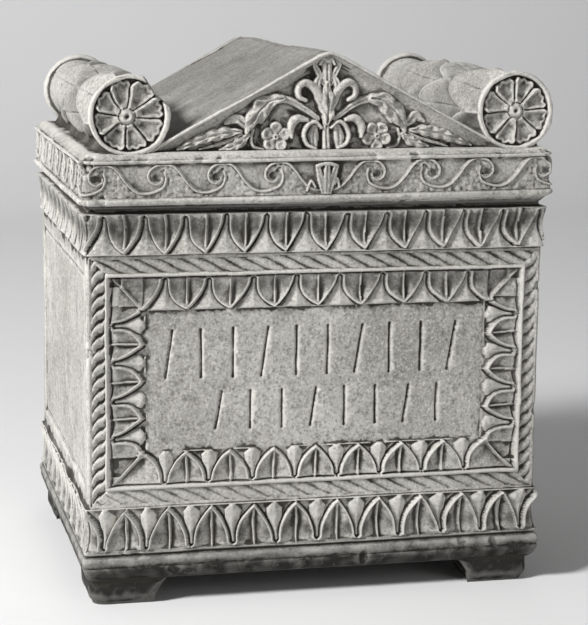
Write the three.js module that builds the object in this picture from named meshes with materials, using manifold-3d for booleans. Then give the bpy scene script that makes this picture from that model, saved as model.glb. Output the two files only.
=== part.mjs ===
// A Roman marble cinerary chest with its lid: a hollow rectangular chest on four low feet, and a gabled
// lid with a bolster along each side. Millimetres, +Z up, the carved front towards -Y. The origin is on
// the ground, under the middle of the chest.
import * as THREE from "three";
import { mergeVertices } from "three/addons/utils/BufferGeometryUtils.js";
import Module from "manifold-3d";

const wasm = await Module();
wasm.setup();

// Chest, overall
const chestWidth = 380; // between the plain faces, left to right
const chestDepth = 320; // between the plain faces, front to back
const wall = 38;
const floorThickness = 40;
const cavityCorner = 14; // radius of the hollow's upright corners

// Chest, from the ground up
const footHeight = 22;
const footLength = 50;
const footFlare = 18; // how far the curve inside a foot runs on under the base
const footInset = 2;
const footCornerCut = 6;
const baseHeight = 24; // the two rounded courses under the lower leaves
const baseOut = 4.5;
const lowerLeafHeight = 36;
const lowerLeafOut = 3.5;
const faceHeight = 207; // from the lower leaves to the upper leaves
const upperLeafHeight = 33;
const upperLeafOut = 2.5;
const upperLeafTopOut = 3.5;
const rimHeight = 4;
const rimBehind = 2; // the rim stands this far behind the plain faces

// Leaf mouldings
const lowerLeafPitch = 35;
const upperLeafPitch = 32.5;
const frameLeafPitch = 36.5; // along the top and bottom of the frame
const frameSidePitch = 31; // up the two sides of the frame
const leafRelief = 3; // height of the ribbon round each leaf
const cymaDepth = 2.4; // how far a moulding's middle draws in behind its edges

// Front frame, from the face's edge inwards
const cableMargin = 3; // plain edge outside the cable
const cableWidth = 12;
const cablePitch = 17;
const cableSidePitch = 11;
const cableRelief = 1.3;
const cableLean = 0.9; // how far a strand runs along the band as it crosses it, in pitches
const filletWidth = 3;
const filletOut = 1.2;
const frameLeafWidth = 27;
const frameLeafDrop = 1.5; // the hollow beside the fillet
const panelDepth = 3.5; // the field inside the leaves lies this far behind the face

// Rows of strokes in the field
const strokeWidth = 3;
const strokeDepth = 1.2;
const tallStroke = 40;
const shortStroke = 31;
const strokeRowGap = 12;
const strokePitch = 27;
const tallRowStart = 19; // field's left edge to the first stroke of the upper row
const shortRowStart = 61; // and of the lower row
const rowEnd = 23; // both rows stop this far from the field's right edge

// Side panels
const sidePanelInset = 15;
const sidePanelDepth = 1.2;

// Lid plate
const lidGap = 0.3; // clearance under the lid
const lidSideOut = 6.5; // past the chest's plain sides
const lidFrontOut = 10; // past the chest's plain front and back
const plateEdge = 38; // height of the carved edge
const plateFillet = 7.4; // plain strip along the bottom of the edge
const plateLip = 2.4; // plain strip along its top
const scrollSink = 3;
const weatherRise = 6; // the slope from the carved edge up to the top
const weatherRun = 12;

// Running scroll
const scrollPitch = 48;
const scrollFirst = 44; // middle of the front to the first eye
const scrollSidePitch = 53;
const scrollSideFirst = 9; // front corner to the first eye on a side
const scrollRibWidth = 4.4;
const scrollRibHeight = 2.6;
const carvingRoot = 2; // how far any carving set on a face runs back into the stone

// Gable
const gableRise = 80; // ridge above the plate's top
const gableMargin = 48.5; // foot of the roof to the plate's side edge, but for the shift
const gableShift = 7; // the gable stands this far to the right of the plate's middle
const gableSetback = 10; // behind the plate's edge, front and back
const corniceEdge = 2; // the cornice's front edge, before its bevel
const corniceBevel = 6.5; // from there down to the tympanum
const tympanumDepth = 9;
const carvingHeight = 7.5; // tallest relief on the tympanum

// Bolsters
const bolsterRadius = 32.5;
const bolsterMargin = 37; // middle of a bolster to the plate's side edge, but for the shift
const bolsterShift = 4.5; // both bolsters stand this far to the right
const bolsterSink = 2.5; // the underside let into the plate
const bolsterSetback = 8;
const discThickness = 9;
const bedWidth = 36; // the block left standing under a bolster
const bedHeight = 12;
const neckRadius = 27;
const waistRadius = 24;
const bulgeRadius = 30;
const petals = 8;
const petalDepth = 5;
const rimWidth = 4;
const buttonRadius = 6.5;

// Levels and half sizes that follow from the sizes above
const halfX = chestWidth / 2;
const halfY = chestDepth / 2;
const baseTop = footHeight + baseHeight;
const faceBottom = baseTop + lowerLeafHeight;
const faceTop = faceBottom + faceHeight;
const rimBottom = faceTop + upperLeafHeight;
const chestTop = rimBottom + rimHeight;
const faceMiddle = (faceBottom + faceTop) / 2;
const plateHalfX = halfX + lidSideOut;
const plateHalfY = halfY + lidFrontOut;
const plateBottom = chestTop + lidGap;
const plateEdgeTop = plateBottom + plateEdge;
const plateTop = plateEdgeTop + weatherRise;
const scrollBand = plateEdge - plateFillet - plateLip;
const bolsterCentreX = plateHalfX - bolsterMargin;
const gableHalfWidth = plateHalfX - gableMargin;
const gableSlope = gableRise / gableHalfWidth;
const corniceSlant = Math.hypot(1, gableSlope); // widths measured upright, for each across the cornice
const tympanumRise = gableRise - (corniceEdge + corniceBevel) * corniceSlant;
const tympanumHalfWidth = tympanumRise / gableSlope;
const { lerp } = THREE.MathUtils;

// A closed geometry as a solid, for joining and cutting.
function solid(geometry) {
  const bare = geometry.clone();
  bare.deleteAttribute("normal");
  bare.deleteAttribute("uv");
  const merged = mergeVertices(bare, 1e-4);
  const triVerts = new Uint32Array(merged.index.array);
  const vertProperties = new Float32Array(merged.attributes.position.array);
  return new wasm.Manifold(new wasm.Mesh({ numProp: 3, vertProperties, triVerts }));
}

function geometryOf(manifold) {
  const mesh = manifold.getMesh();
  const geometry = new THREE.BufferGeometry();
  geometry.setAttribute("position", new THREE.BufferAttribute(mesh.vertProperties, 3));
  geometry.setIndex(new THREE.BufferAttribute(mesh.triVerts, 1));
  const faceted = geometry.toNonIndexed();
  faceted.computeVertexNormals();
  return faceted;
}

// A skin gathers triangles, and closes to a geometry that faces out.
class Skin {
  triangles = [];

  add(a, b, c) {
    this.triangles.push([a, b, c]);
  }

  // The strip between two closed loops, paired by their points' s, which runs from 0 to 4 round both.
  // Where the loops keep step, the shorter diagonal is taken, so a leaf's two halves mirror each other.
  strip(outer, inner) {
    const next = (loop, i) => (i + 1 < loop.length ? loop[i + 1].s : i < loop.length ? 4 : Infinity);
    const at = (loop, i) => loop[i % loop.length].p;
    let i = 0;
    let j = 0;
    while (i < outer.length || j < inner.length) {
      const ahead = next(outer, i) - next(inner, j);
      const [p, q, p2, q2] = [at(outer, i), at(inner, j), at(outer, i + 1), at(inner, j + 1)];
      const level = Math.abs(ahead) < 1e-9;
      if (level ? p2.distanceTo(q) <= p.distanceTo(q2) : ahead < 0) {
        this.add(p, p2, q);
        i++;
      } else {
        this.add(p, q2, q);
        j++;
      }
    }
  }

  strips(loops) {
    for (let k = 0; k + 1 < loops.length; k++) this.strip(loops[k], loops[k + 1]);
  }

  // A fan from a point to a loop, which closes a row of strips. It is turned at the row's first loop.
  fan(loop, centre, turned) {
    loop.forEach(({ p }, k) => {
      const q = loop[(k + 1) % loop.length].p;
      if (turned) this.add(q, p, centre);
      else this.add(p, q, centre);
    });
  }

  geometry() {
    const geometry = new THREE.BufferGeometry();
    const values = this.triangles.flat().flatMap((p) => [p.x, p.y, p.z]);
    geometry.setAttribute("position", new THREE.Float32BufferAttribute(values, 3));
    return geometry;
  }
}

// Points round a rectangle, counter-clockwise from its low left corner: bottom, right, top, left.
// sides[k] lists the points between the corners of side k, each by its place from the middle of the side
// and its relief.
function rectangle(halfA, halfB, relief, sides = [[], [], [], []]) {
  const corners = [
    [-halfA, -halfB],
    [halfA, -halfB],
    [halfA, halfB],
    [-halfA, halfB],
  ];
  return corners.flatMap(([a, b], k) => {
    const [a2, b2] = corners[(k + 1) % 4];
    const length = Math.hypot(a2 - a, b2 - b);
    const between = sides[k].map(({ place, relief: height }, i) => {
      const t = 0.5 + place / length;
      const s = k + (i + 1) / (sides[k].length + 1);
      return { s, a: lerp(a, a2, t), b: lerp(b, b2, t), relief: height, side: k };
    });
    return [{ s: k, a, b, relief, side: k, corner: true }, ...between];
  });
}

// A level loop round the chest or the plate: relief stands out sideways from the plain faces.
function ring(halfA, halfB, z, relief, sides) {
  return rectangle(halfA, halfB, relief, sides).map((q) => {
    const out = new THREE.Vector2();
    if (q.corner) out.set(Math.sign(q.a), Math.sign(q.b));
    else out.set([0, 1, 0, -1][q.side], [-1, 0, 1, 0][q.side]);
    return { s: q.s, p: new THREE.Vector3(q.a + out.x * q.relief, q.b + out.y * q.relief, z) };
  });
}

// An upright loop on the front (facing = 0), right (1) or left (3) face: relief stands out of the face.
function upright(facing, halfA, halfB, relief, sides) {
  const distance = facing === 0 ? halfY : halfX;
  const angle = { 0: 0, 1: Math.PI / 2, 3: -Math.PI / 2 }[facing];
  return rectangle(halfA, halfB, relief, sides).map((q) => {
    const p = new THREE.Vector3(q.a, -distance - q.relief, faceMiddle + q.b);
    return { s: q.s, p: p.applyAxisAngle(new THREE.Vector3(0, 0, 1), angle) };
  });
}

// The rows of a leaf moulding, from the leaves' tips to the round ends of the darts between them. across
// is the share of the moulding's width, open is half a leaf's width in pitches, and the rest are heights
// in reliefs.
const leafRows = [
  { across: 0, open: 0.06, ribbon: 0, hollow: 0, midrib: 0, dart: 0 },
  { across: 0.3, open: 0.26, ribbon: 0.5, hollow: -0.7, midrib: 0.2, dart: -0.6 },
  { across: 0.82, open: 0.4, ribbon: 0.5, hollow: -0.8, midrib: 0.1, dart: 0.2 },
  { across: 1, open: 0.46, ribbon: 0, hollow: 0, midrib: 0, dart: 0 },
];

// The places of the darts along a side, none of them near its ends.
function dartPlaces(length, pitch, onMiddle) {
  const start = onMiddle ? 0 : pitch / 2;
  const count = Math.floor((length / 2 - start) / pitch - 0.3);
  const right = Array.from({ length: Math.max(count, 0) + 1 }, (_, i) => start + i * pitch);
  const left = right.map((x) => -x).reverse();
  return onMiddle ? [...left.slice(0, -1), ...right] : [...left, ...right];
}

// One row of leaves and darts along a side of the given length, over a base height. Only full rows have
// midribs.
function leafPoints(row, length, darts, pitch, base, full) {
  const height = (kind) => base + row[kind] * leafRelief;
  const points = [];
  const stops = [-length / 2, ...darts, length / 2];
  for (let i = 0; i + 1 < stops.length; i++) {
    const first = i === 0;
    const last = i + 2 === stops.length;
    const [from, to] = [stops[i], stops[i + 1]];
    const half = first || last ? to - from : (to - from) / 2;
    const middle = first ? from : last ? to : (from + to) / 2;
    const opening = 2 * row.open * half;
    const add = (place, kind) => points.push({ place, relief: height(kind) });
    if (!first) {
      add(from, "dart");
      add(middle - opening, "ribbon");
      if (full) add(middle - opening / 2, "hollow");
    }
    if (!first && !last && full) add(middle, "midrib");
    if (!last) {
      if (full) add(middle + opening / 2, "hollow");
      add(middle + opening, "ribbon");
    }
  }
  return points;
}

// A leaf moulding round the chest. tips and ends are the levels and outs of its two edges.
function leafCourse({ tipsZ, endsZ, tipsOut, endsOut, pitch, onMiddle }) {
  const lengths = [chestWidth, chestDepth, chestWidth, chestDepth];
  const darts = lengths.map((length) => dartPlaces(length, pitch, onMiddle));
  return leafRows.map((row) => {
    const out = lerp(tipsOut, endsOut, row.across) - cymaDepth * Math.sin(Math.PI * row.across);
    const sides = lengths.map((length, k) =>
      k === 2 ? [] : leafPoints(row, length, darts[k], pitch, out, k === 0),
    );
    return ring(halfX, halfY, lerp(tipsZ, endsZ, row.across), out + row.midrib * leafRelief, sides);
  });
}

// The cable between the face's edge and the fillet, as loops from outside in: each strand is a ridge and
// a groove.
function cableLoops() {
  const rows = [
    { across: 0, ridge: 0, groove: 0 },
    { across: 0.5, ridge: 1, groove: -0.8 },
    { across: 1, ridge: 0, groove: 0 },
  ];
  return rows.map((row) => {
    const inset = cableMargin + cableWidth * row.across;
    const [halfA, halfB] = [halfX - inset, faceHeight / 2 - inset];
    const sides = [0, 1, 2, 3].map((k) => {
      const inner = (k % 2 ? faceHeight / 2 : halfX) - cableMargin - cableWidth;
      const pitch = k % 2 ? cableSidePitch : cablePitch;
      const count = Math.floor((2 * inner) / pitch - cableLean);
      return Array.from({ length: 2 * count }, (_, i) => {
        const place = ((i + 0.5) / 2 - count / 2 - cableLean * (row.across - 0.5)) * pitch;
        return { place, relief: (i % 2 ? row.groove : row.ridge) * cableRelief };
      });
    });
    return upright(0, halfA, halfB, 0, sides);
  });
}

// The leaves inside the fillet, tips towards the field, as loops from outside in.
function frameLeafLoops(inset) {
  const [outerA, outerB] = [halfX - inset, faceHeight / 2 - inset];
  const fieldHalf = [outerA - frameLeafWidth, outerB - frameLeafWidth];
  const darts = [
    dartPlaces(2 * (fieldHalf[0] + frameLeafPitch / 2), frameLeafPitch, false),
    dartPlaces(2 * (fieldHalf[1] + frameSidePitch / 2), frameSidePitch, false),
  ];
  return leafRows.toReversed().map((row) => {
    const move = (1 - row.across) * frameLeafWidth;
    const halves = [outerA - move, outerB - move];
    const out = -frameLeafDrop * Math.sin((Math.PI * (1 + row.across)) / 2 - Math.PI / 2 + 0.4);
    const sides = [0, 1, 0, 1].map((k) =>
      leafPoints(row, 2 * halves[k], darts[k], k ? frameSidePitch : frameLeafPitch, out, true),
    );
    return upright(0, halves[0], halves[1], out + row.midrib * leafRelief, sides);
  });
}

// The front face, from its edge to the sunk field.
function addFront(skin) {
  const inside = (inset, relief) => upright(0, halfX - inset, faceHeight / 2 - inset, relief);
  const fillet = cableMargin + cableWidth;
  const leaves = fillet + filletWidth;
  const field = leaves + frameLeafWidth;
  const loops = [
    inside(0, 0),
    ...cableLoops(),
    inside(fillet + 0.5, filletOut),
    inside(leaves - 0.5, filletOut),
    ...frameLeafLoops(leaves),
    inside(field + 0.8, -panelDepth),
  ];
  skin.strips(loops);
  skin.fan(loops.at(-1), new THREE.Vector3(0, -halfY + panelDepth, faceMiddle));
}

// A plain side with a shallow sunk panel.
function addSide(skin, facing) {
  const loops = [
    upright(facing, halfY, faceHeight / 2, 0),
    upright(facing, halfY - sidePanelInset, faceHeight / 2 - sidePanelInset, 0),
    upright(facing, halfY - sidePanelInset - 1, faceHeight / 2 - sidePanelInset - 1, -sidePanelDepth),
  ];
  skin.strips(loops);
  const middle = new THREE.Vector3(0, -halfX + sidePanelDepth, faceMiddle);
  const angle = facing === 1 ? Math.PI / 2 : -Math.PI / 2;
  skin.fan(loops.at(-1), middle.applyAxisAngle(new THREE.Vector3(0, 0, 1), angle));
}

// The outside of the chest above its feet, as one closed skin.
function chestBlock() {
  const skin = new Skin();
  const level = (z, out) => ring(halfX, halfY, z, out);
  const step = baseHeight / 8;
  const below = [
    level(footHeight, baseOut - 4),
    level(footHeight + step, baseOut - 0.5),
    level(footHeight + 3 * step, baseOut),
    level(footHeight + 4 * step, baseOut - 1.6),
    level(footHeight + 5 * step, baseOut),
    level(footHeight + 7 * step, baseOut - 0.4),
    level(baseTop, lowerLeafOut - 0.6),
    ...leafCourse({
      tipsZ: faceBottom - 0.6,
      endsZ: baseTop + 1,
      tipsOut: lowerLeafOut,
      endsOut: lowerLeafOut - 0.6,
      pitch: lowerLeafPitch,
      onMiddle: true,
    }).reverse(),
    ring(halfX, halfY, faceBottom, 0),
  ];
  const above = [
    ring(halfX, halfY, faceTop, 0),
    ...leafCourse({
      tipsZ: faceTop + 0.6,
      endsZ: rimBottom,
      tipsOut: upperLeafOut,
      endsOut: upperLeafTopOut,
      pitch: upperLeafPitch,
      onMiddle: false,
    }),
    level(rimBottom + 0.5, -rimBehind),
    level(chestTop, -rimBehind),
  ];
  skin.strips(below);
  skin.strips(above);
  skin.fan(below[0], new THREE.Vector3(0, 0, footHeight), true);
  skin.fan(above.at(-1), new THREE.Vector3(0, 0, chestTop));
  const [low, high] = [below.at(-1), above[0]];
  skin.add(low[2].p, low[3].p, high[2].p);
  skin.add(low[3].p, high[3].p, high[2].p);
  addFront(skin);
  addSide(skin, 1);
  addSide(skin, 3);
  return skin.geometry();
}

// One corner foot, in the corner of +X and +Y, as the common part of two outlines drawn along X and along Y.
function foot() {
  const overlap = 4; // up into the base
  const outline = (half) => {
    const outer = half + baseOut - 4 - footInset;
    const inner = outer - footLength;
    const shape = new THREE.Shape();
    shape.moveTo(outer, footHeight + overlap);
    shape.lineTo(outer, footCornerCut);
    shape.lineTo(outer - footCornerCut / 2, 0);
    shape.lineTo(inner, 0);
    const end = inner - footFlare;
    shape.quadraticCurveTo(inner - footFlare * 0.4, footHeight * 0.9, end, footHeight + overlap);
    return shape;
  };
  const settings = { depth: halfX + halfY, bevelEnabled: false, curveSegments: 4 };
  const alongY = new THREE.ExtrudeGeometry(outline(halfX), settings).rotateX(Math.PI / 2);
  const alongX = new THREE.ExtrudeGeometry(outline(halfY), settings).rotateX(Math.PI / 2);
  alongY.translate(0, halfX + halfY, 0);
  alongX.rotateZ(Math.PI / 2);
  return solid(alongY).intersect(solid(alongX));
}

function roundedBox(halfA, halfB, radius, z0, z1) {
  const shape = new THREE.Shape();
  const corners = [
    [halfA - radius, halfB - radius, 0],
    [-halfA + radius, halfB - radius, 1],
    [-halfA + radius, -halfB + radius, 2],
    [halfA - radius, -halfB + radius, 3],
  ];
  const quarter = Math.PI / 2;
  for (const [x, y, turn] of corners) shape.absarc(x, y, radius, turn * quarter, (turn + 1) * quarter);
  const settings = { depth: z1 - z0, bevelEnabled: false, curveSegments: 3 };
  return new THREE.ExtrudeGeometry(shape, settings).translate(0, 0, z0);
}

// A shallow stroke, cut as a V: a four-sided bar set on its edge.
function stroke(x, z, length, lean) {
  const bar = new THREE.CylinderGeometry(strokeWidth / 2, strokeWidth / 2, length, 4).rotateX(Math.PI / 2);
  bar.scale(1, (2 * strokeDepth) / strokeWidth, 1).rotateY(lean);
  return solid(bar.translate(x, -halfY + panelDepth, z));
}

// Two rows of strokes across the field: plain cuts, every third one leaning.
function strokes() {
  const rowsHeight = tallStroke + strokeRowGap + shortStroke;
  const top = faceMiddle + rowsHeight / 2;
  const edge = halfX - cableMargin - cableWidth - filletWidth - frameLeafWidth;
  const rows = [
    { z: top - tallStroke / 2, length: tallStroke, from: tallRowStart - edge },
    { z: top - rowsHeight + shortStroke / 2, length: shortStroke, from: shortRowStart - edge },
  ];
  return rows.flatMap(({ z, length, from }) => {
    const count = Math.floor((edge - rowEnd - from) / strokePitch) + 1;
    const one = (_, i) => stroke(from + i * strokePitch, z, length, i % 3 ? 0 : 0.16);
    return Array.from({ length: count }, one);
  });
}

function chest() {
  let made = solid(chestBlock());
  const right = foot().add(foot().mirror([0, 1, 0]));
  made = made.add(right).add(right.mirror([1, 0, 0]));
  const inside = footHeight + floorThickness;
  const hollow = roundedBox(halfX - wall, halfY - wall, cavityCorner, inside, chestTop + 5);
  made = made.subtract(solid(hollow));
  for (const cut of strokes()) made = made.subtract(cut);
  return geometryOf(made);
}

// A ridge along a line on an upright face, three-sided, and highest where it is widest. points are
// [across, up] on the face, which is the plane y = 0, and height is its greatest height.
function ridge(points, widths, height) {
  const skin = new Skin();
  const at = (i) => new THREE.Vector2(...points[Math.min(Math.max(i, 0), points.length - 1)]);
  const loops = points.map((point, i) => {
    const along = at(i + 1).sub(at(i - 1)).normalize();
    const left = new THREE.Vector2(-along.y, along.x).multiplyScalar(widths[i] / 2);
    const [x, z] = point;
    const crest = (height * widths[i]) / Math.max(...widths);
    return [
      { s: 0, p: new THREE.Vector3(x - left.x, carvingRoot, z - left.y) },
      { s: 1.33, p: new THREE.Vector3(x + left.x, carvingRoot, z + left.y) },
      { s: 2.66, p: new THREE.Vector3(x, -crest, z) },
    ];
  });
  skin.strips(loops);
  const [start, end] = [loops[0], loops.at(-1)];
  skin.add(start[0].p, start[2].p, start[1].p);
  skin.add(end[0].p, end[1].p, end[2].p);
  return skin.geometry();
}

// One wave of the running scroll, [across, up] from its eye: out of the eye before it, through the trough,
// over the crest and in to its own eye. The last number is the share of the rib's full width. It is drawn
// for a pitch and a band of the sizes below, and stretched to fit.
const wavePitch = 48;
const waveBand = 28;
const wave = [
  [-54, 2, 0.5],
  [-53, -7, 0.8],
  [-43, -12, 1],
  [-31, -11, 1],
  [-21, -3, 1],
  [-12, 8, 1],
  [-2, 11, 1],
  [6, 6, 1],
  [6, -2, 0.9],
  [-2, -4, 0.6],
];

// The carved edge of the plate, and its slope up to the top.
function plate() {
  const skin = new Skin();
  const level = (z, out) => ring(plateHalfX, plateHalfY, z, out);
  const sunkBottom = plateBottom + plateFillet;
  const sunkTop = plateEdgeTop - plateLip;
  const loops = [
    level(plateBottom, -2),
    level(plateBottom + 2, 0),
    level(sunkBottom, 0),
    level(sunkBottom + 1, -scrollSink),
    level(sunkTop - 1, -scrollSink),
    level(sunkTop, -0.5),
    level(plateEdgeTop, -0.5),
    level(plateTop, -weatherRun),
  ];
  skin.strips(loops);
  skin.fan(loops[0], new THREE.Vector3(0, 0, plateBottom), true);
  skin.fan(loops.at(-1), new THREE.Vector3(0, 0, plateTop));
  return solid(skin.geometry());
}

// The running scroll round the front and both sides of the plate, outwards from the middle of the front and
// forwards along the sides.
function plateScrolls() {
  const rise = scrollBand / waveBand;
  const z = plateBottom + plateFillet + scrollBand / 2 + 1.5 * rise;
  const place = (side, x, turn, distance, pitch) => {
    const points = wave.map(([across, up]) => [(side * across * pitch) / wavePitch, up * rise]);
    const widths = wave.map(([, , share]) => share * scrollRibWidth);
    const geometry = ridge(points, widths, scrollRibHeight);
    return solid(geometry.translate(x, -distance + scrollSink, z).rotateZ(turn));
  };
  const made = [];
  const perSide = Math.floor((plateHalfX - scrollFirst) / scrollPitch) + 1;
  for (const side of [-1, 1]) {
    for (let i = 0; i < perSide; i++) {
      const eye = scrollFirst + i * scrollPitch;
      made.push(place(side, side * eye, 0, plateHalfY, scrollPitch));
    }
  }
  const count = Math.floor((2 * plateHalfY - scrollSideFirst) / scrollSidePitch);
  for (const side of [-1, 1]) {
    for (let i = 0; i < count; i++) {
      const eye = plateHalfY - scrollSideFirst - i * scrollSidePitch;
      made.push(place(side, side * eye, (-side * Math.PI) / 2, plateHalfX, scrollSidePitch));
    }
  }
  return made;
}

// Three upright leaves in the middle of the front edge.
function platePalmette() {
  const z = plateBottom + plateFillet + 1;
  const rise = scrollBand / waveBand;
  return [-1, 0, 1].map((side) => {
    const line = [
      [0, 0],
      [side * 4.5, 9 * rise],
      [side * 7, 17 * rise],
      [side * 10, (22 - Math.abs(side) * 2) * rise],
    ];
    const geometry = ridge(line, [3, 5, 5, 2], scrollRibHeight);
    return solid(geometry.translate(0, -plateHalfY + scrollSink, z));
  });
}

// A block between two gable outlines, each given as its y, its rise and its foot's level.
function gableBlock(outlines) {
  const skin = new Skin();
  const loops = outlines.map(({ y, rise, foot }) => {
    const half = (rise - foot) / gableSlope;
    return [
      { s: 0, p: new THREE.Vector3(-half, y, foot) },
      { s: 1.33, p: new THREE.Vector3(0, y, rise) },
      { s: 2.66, p: new THREE.Vector3(half, y, foot) },
    ];
  });
  skin.strips(loops);
  const [start, end] = [loops[0], loops.at(-1)];
  skin.add(start[0].p, start[2].p, start[1].p);
  skin.add(end[0].p, end[1].p, end[2].p);
  return solid(skin.geometry());
}

// The gable, with the tympanum sunk behind its raking cornice, whose inner side slants back to the floor.
function gable() {
  const half = plateHalfY - gableSetback;
  const root = -5; // the block runs on down into the plate
  const block = gableBlock([
    { y: -half, rise: gableRise, foot: root },
    { y: half, rise: gableRise, foot: root },
  ]);
  const slant = corniceBevel * corniceSlant;
  const sinking = gableBlock([
    { y: -half - tympanumDepth, rise: tympanumRise + 2 * slant, foot: 0 },
    { y: -half + tympanumDepth, rise: tympanumRise, foot: 0 },
  ]);
  return block.subtract(sinking).translate([gableShift, 0, plateTop]);
}

// The plant on the tympanum. Each entry is one leaf or stem: its line in [across, up] from the middle of
// the base, its widths along the line, and its share of the greatest height. The leaves to one side are
// cut left and right. It is drawn for a tympanum of the sizes below, and stretched to fit.
const plantHalfWidth = 128.5;
const plantRise = 71;

function tympanumCarving() {
  const middle = [
    { line: [[0, 24], [0, 38], [0, 50]], widths: [7, 15, 9], height: 0.9 },
    { line: [[0, 46], [0, 58], [0, 68]], widths: [8, 11, 15], height: 0.8 },
  ];
  const sides = [
    { line: [[4, 0], [9, 12], [5, 27]], widths: [8, 13, 4], height: 1 },
    { line: [[11, 5], [19, 15], [27, 17], [28, 8]], widths: [5, 9, 9, 3], height: 0.9 },
    { line: [[3, 36], [12, 47], [21, 48], [23, 39]], widths: [6, 10, 9, 3], height: 0.9 },
    { line: [[7, 26], [22, 36], [37, 38]], widths: [4, 5, 8], height: 0.5 },
    { line: [[37, 38], [52, 32], [62, 23], [69, 12]], widths: [8, 15, 14, 3], height: 0.9 },
    { line: [[45, 34], [51, 27], [50, 19]], widths: [6, 9, 3], height: 0.8 },
    { line: [[53, 24], [59, 14], [58, 4]], widths: [3, 4, 3], height: 0.5 },
    { line: [[65, 17], [80, 15], [97, 9], [118, 2]], widths: [5, 13, 11, 2], height: 0.8 },
    { line: [[60, 1], [69, 5], [84, 1]], widths: [4, 8, 2], height: 0.5 },
  ];
  const y = -plateHalfY + gableSetback + tympanumDepth;
  const wider = tympanumHalfWidth / plantHalfWidth;
  const taller = tympanumRise / plantRise;
  const carve = ({ line, widths, height }, mirror) => {
    const points = line.map(([x, z]) => [mirror * x * wider, z * taller]);
    const geometry = ridge(points, widths, carvingHeight * height);
    return solid(geometry.translate(gableShift, y - 0.5, plateTop));
  };
  const made = middle.map((one) => carve(one, 1));
  for (const one of sides) made.push(carve(one, 1), carve(one, -1));
  for (const side of [-1, 1]) {
    const flower = rosette(12, 5, 5);
    made.push(solid(flower.translate(gableShift + side * 42.5 * wider, y, plateTop + 12.5 * taller)));
  }
  return made;
}

// A small five-petalled flower, standing off the face.
function rosette(radius, count, height) {
  const skin = new Skin();
  const columns = 3 * count;
  const loop = (share, rise) =>
    Array.from({ length: columns }, (_, i) => {
      const angle = (2 * Math.PI * i) / columns;
      const gap = i % 3 === 0;
      const r = radius * share * (gap && share > 0.5 ? 0.82 : 1);
      const y = -rise(gap);
      return { s: (4 * i) / columns, p: new THREE.Vector3(r * Math.cos(angle), y, r * Math.sin(angle)) };
    });
  const loops = [
    loop(1, () => -2),
    loop(1, (gap) => height * (gap ? 0.4 : 0.8)),
    loop(0.7, (gap) => height * (gap ? 0.4 : 1)),
    loop(0.26, () => height * 0.5),
  ];
  skin.strips(loops);
  skin.fan(loops[0], new THREE.Vector3(0, 2, 0), true);
  skin.fan(loops.at(-1), new THREE.Vector3(0, -height - 1, 0));
  return skin.geometry();
}

// A bolster along Y with its middle at the origin: a petalled disc at the front, a leafy body with a
// waist, and a plain disc at the back.
function bolster() {
  const skin = new Skin();
  const columns = 3 * petals;
  const half = plateHalfY - bolsterSetback;
  const loop = (y, radius) =>
    Array.from({ length: columns }, (_, i) => {
      const angle = (-2 * Math.PI * i) / columns;
      const r = radius(i);
      return {
        s: (4 * i) / columns,
        p: new THREE.Vector3(r * Math.cos(angle), typeof y === "function" ? y(i) : y, r * Math.sin(angle)),
      };
    });
  const even = (radius) => () => radius;
  const petalEnd = bolsterRadius - rimWidth - 1;
  const isGap = (i) => i % 3 === 0;
  const petal = (gapDepth, faceDepth) => (i) => -half + petalDepth * (isGap(i) ? gapDepth : faceDepth);
  const leaf = (i, valley) => (i % 4 === 0 ? valley : 1);
  const front = [
    loop(-half, even(buttonRadius * 0.7)),
    loop(-half + petalDepth * 0.8, even(buttonRadius)),
    loop(petal(0.9, 0.5), even(lerp(buttonRadius, petalEnd, 0.5))),
    loop(petal(1, 0.2), (i) => petalEnd * (isGap(i) ? 0.86 : 0.97)),
    loop(-half + petalDepth, even(petalEnd)),
    loop(-half, even(bolsterRadius - rimWidth)),
    loop(-half, even(bolsterRadius - 1)),
    loop(-half + discThickness, even(bolsterRadius)),
  ];
  const bodyEnd = half - discThickness;
  const sheath = [
    loop(-bodyEnd + 4, even(neckRadius)),
    loop(-bodyEnd * 0.66, (i) => bulgeRadius * leaf(i, 0.92)),
    loop(-bodyEnd * 0.33, (i) => bulgeRadius * leaf(i, 0.86)),
    loop(0, even(waistRadius)),
    loop(bodyEnd * 0.33, (i) => bulgeRadius * leaf(i + 2, 0.86)),
    loop(bodyEnd * 0.66, (i) => bulgeRadius * leaf(i + 2, 0.92)),
    loop(bodyEnd - 4, even(neckRadius)),
  ];
  const back = [
    loop(bodyEnd, even(bolsterRadius)),
    loop(half, even(bolsterRadius - 2)),
  ];
  const loops = [...front, ...sheath, ...back];
  skin.strips(loops);
  skin.fan(loops[0], new THREE.Vector3(0, -half + 3, 0), true);
  skin.fan(loops.at(-1), new THREE.Vector3(0, half - 1, 0));
  return skin.geometry();
}

function lid() {
  let made = plate().add(gable());
  const bolsterZ = plateTop - bolsterSink + bolsterRadius;
  for (const side of [-1, 1]) {
    const x = bolsterShift + side * bolsterCentreX;
    const bedLength = 2 * (plateHalfY - bolsterSetback - discThickness);
    const bed = new THREE.BoxGeometry(bedWidth, bedLength, 2 * bedHeight);
    made = made.add(solid(bed.translate(x, 0, plateTop)));
    made = made.add(solid(bolster().translate(x, 0, bolsterZ)));
  }
  for (const piece of [...plateScrolls(), ...platePalmette(), ...tympanumCarving()]) made = made.add(piece);
  return geometryOf(made);
}

const marble = () => new THREE.MeshStandardMaterial({ color: 0xc9c6bf, roughness: 0.8, metalness: 0 });

const group = new THREE.Group();
for (const [name, geometry] of [
  ["chest", chest()],
  ["lid", lid()],
]) {
  const mesh = new THREE.Mesh(geometry, marble());
  mesh.name = name;
  group.add(mesh);
}

export default group;
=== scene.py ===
"""A Roman marble cinerary chest with its gabled lid, on a pale floor.

Metres, +Z up, the carved front towards -Y, the origin on the ground under the chest. The carving is worked
out in millimetres as height over fine nets of points, and each net is then brought down to a lighter mesh.
"""

import math

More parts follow.
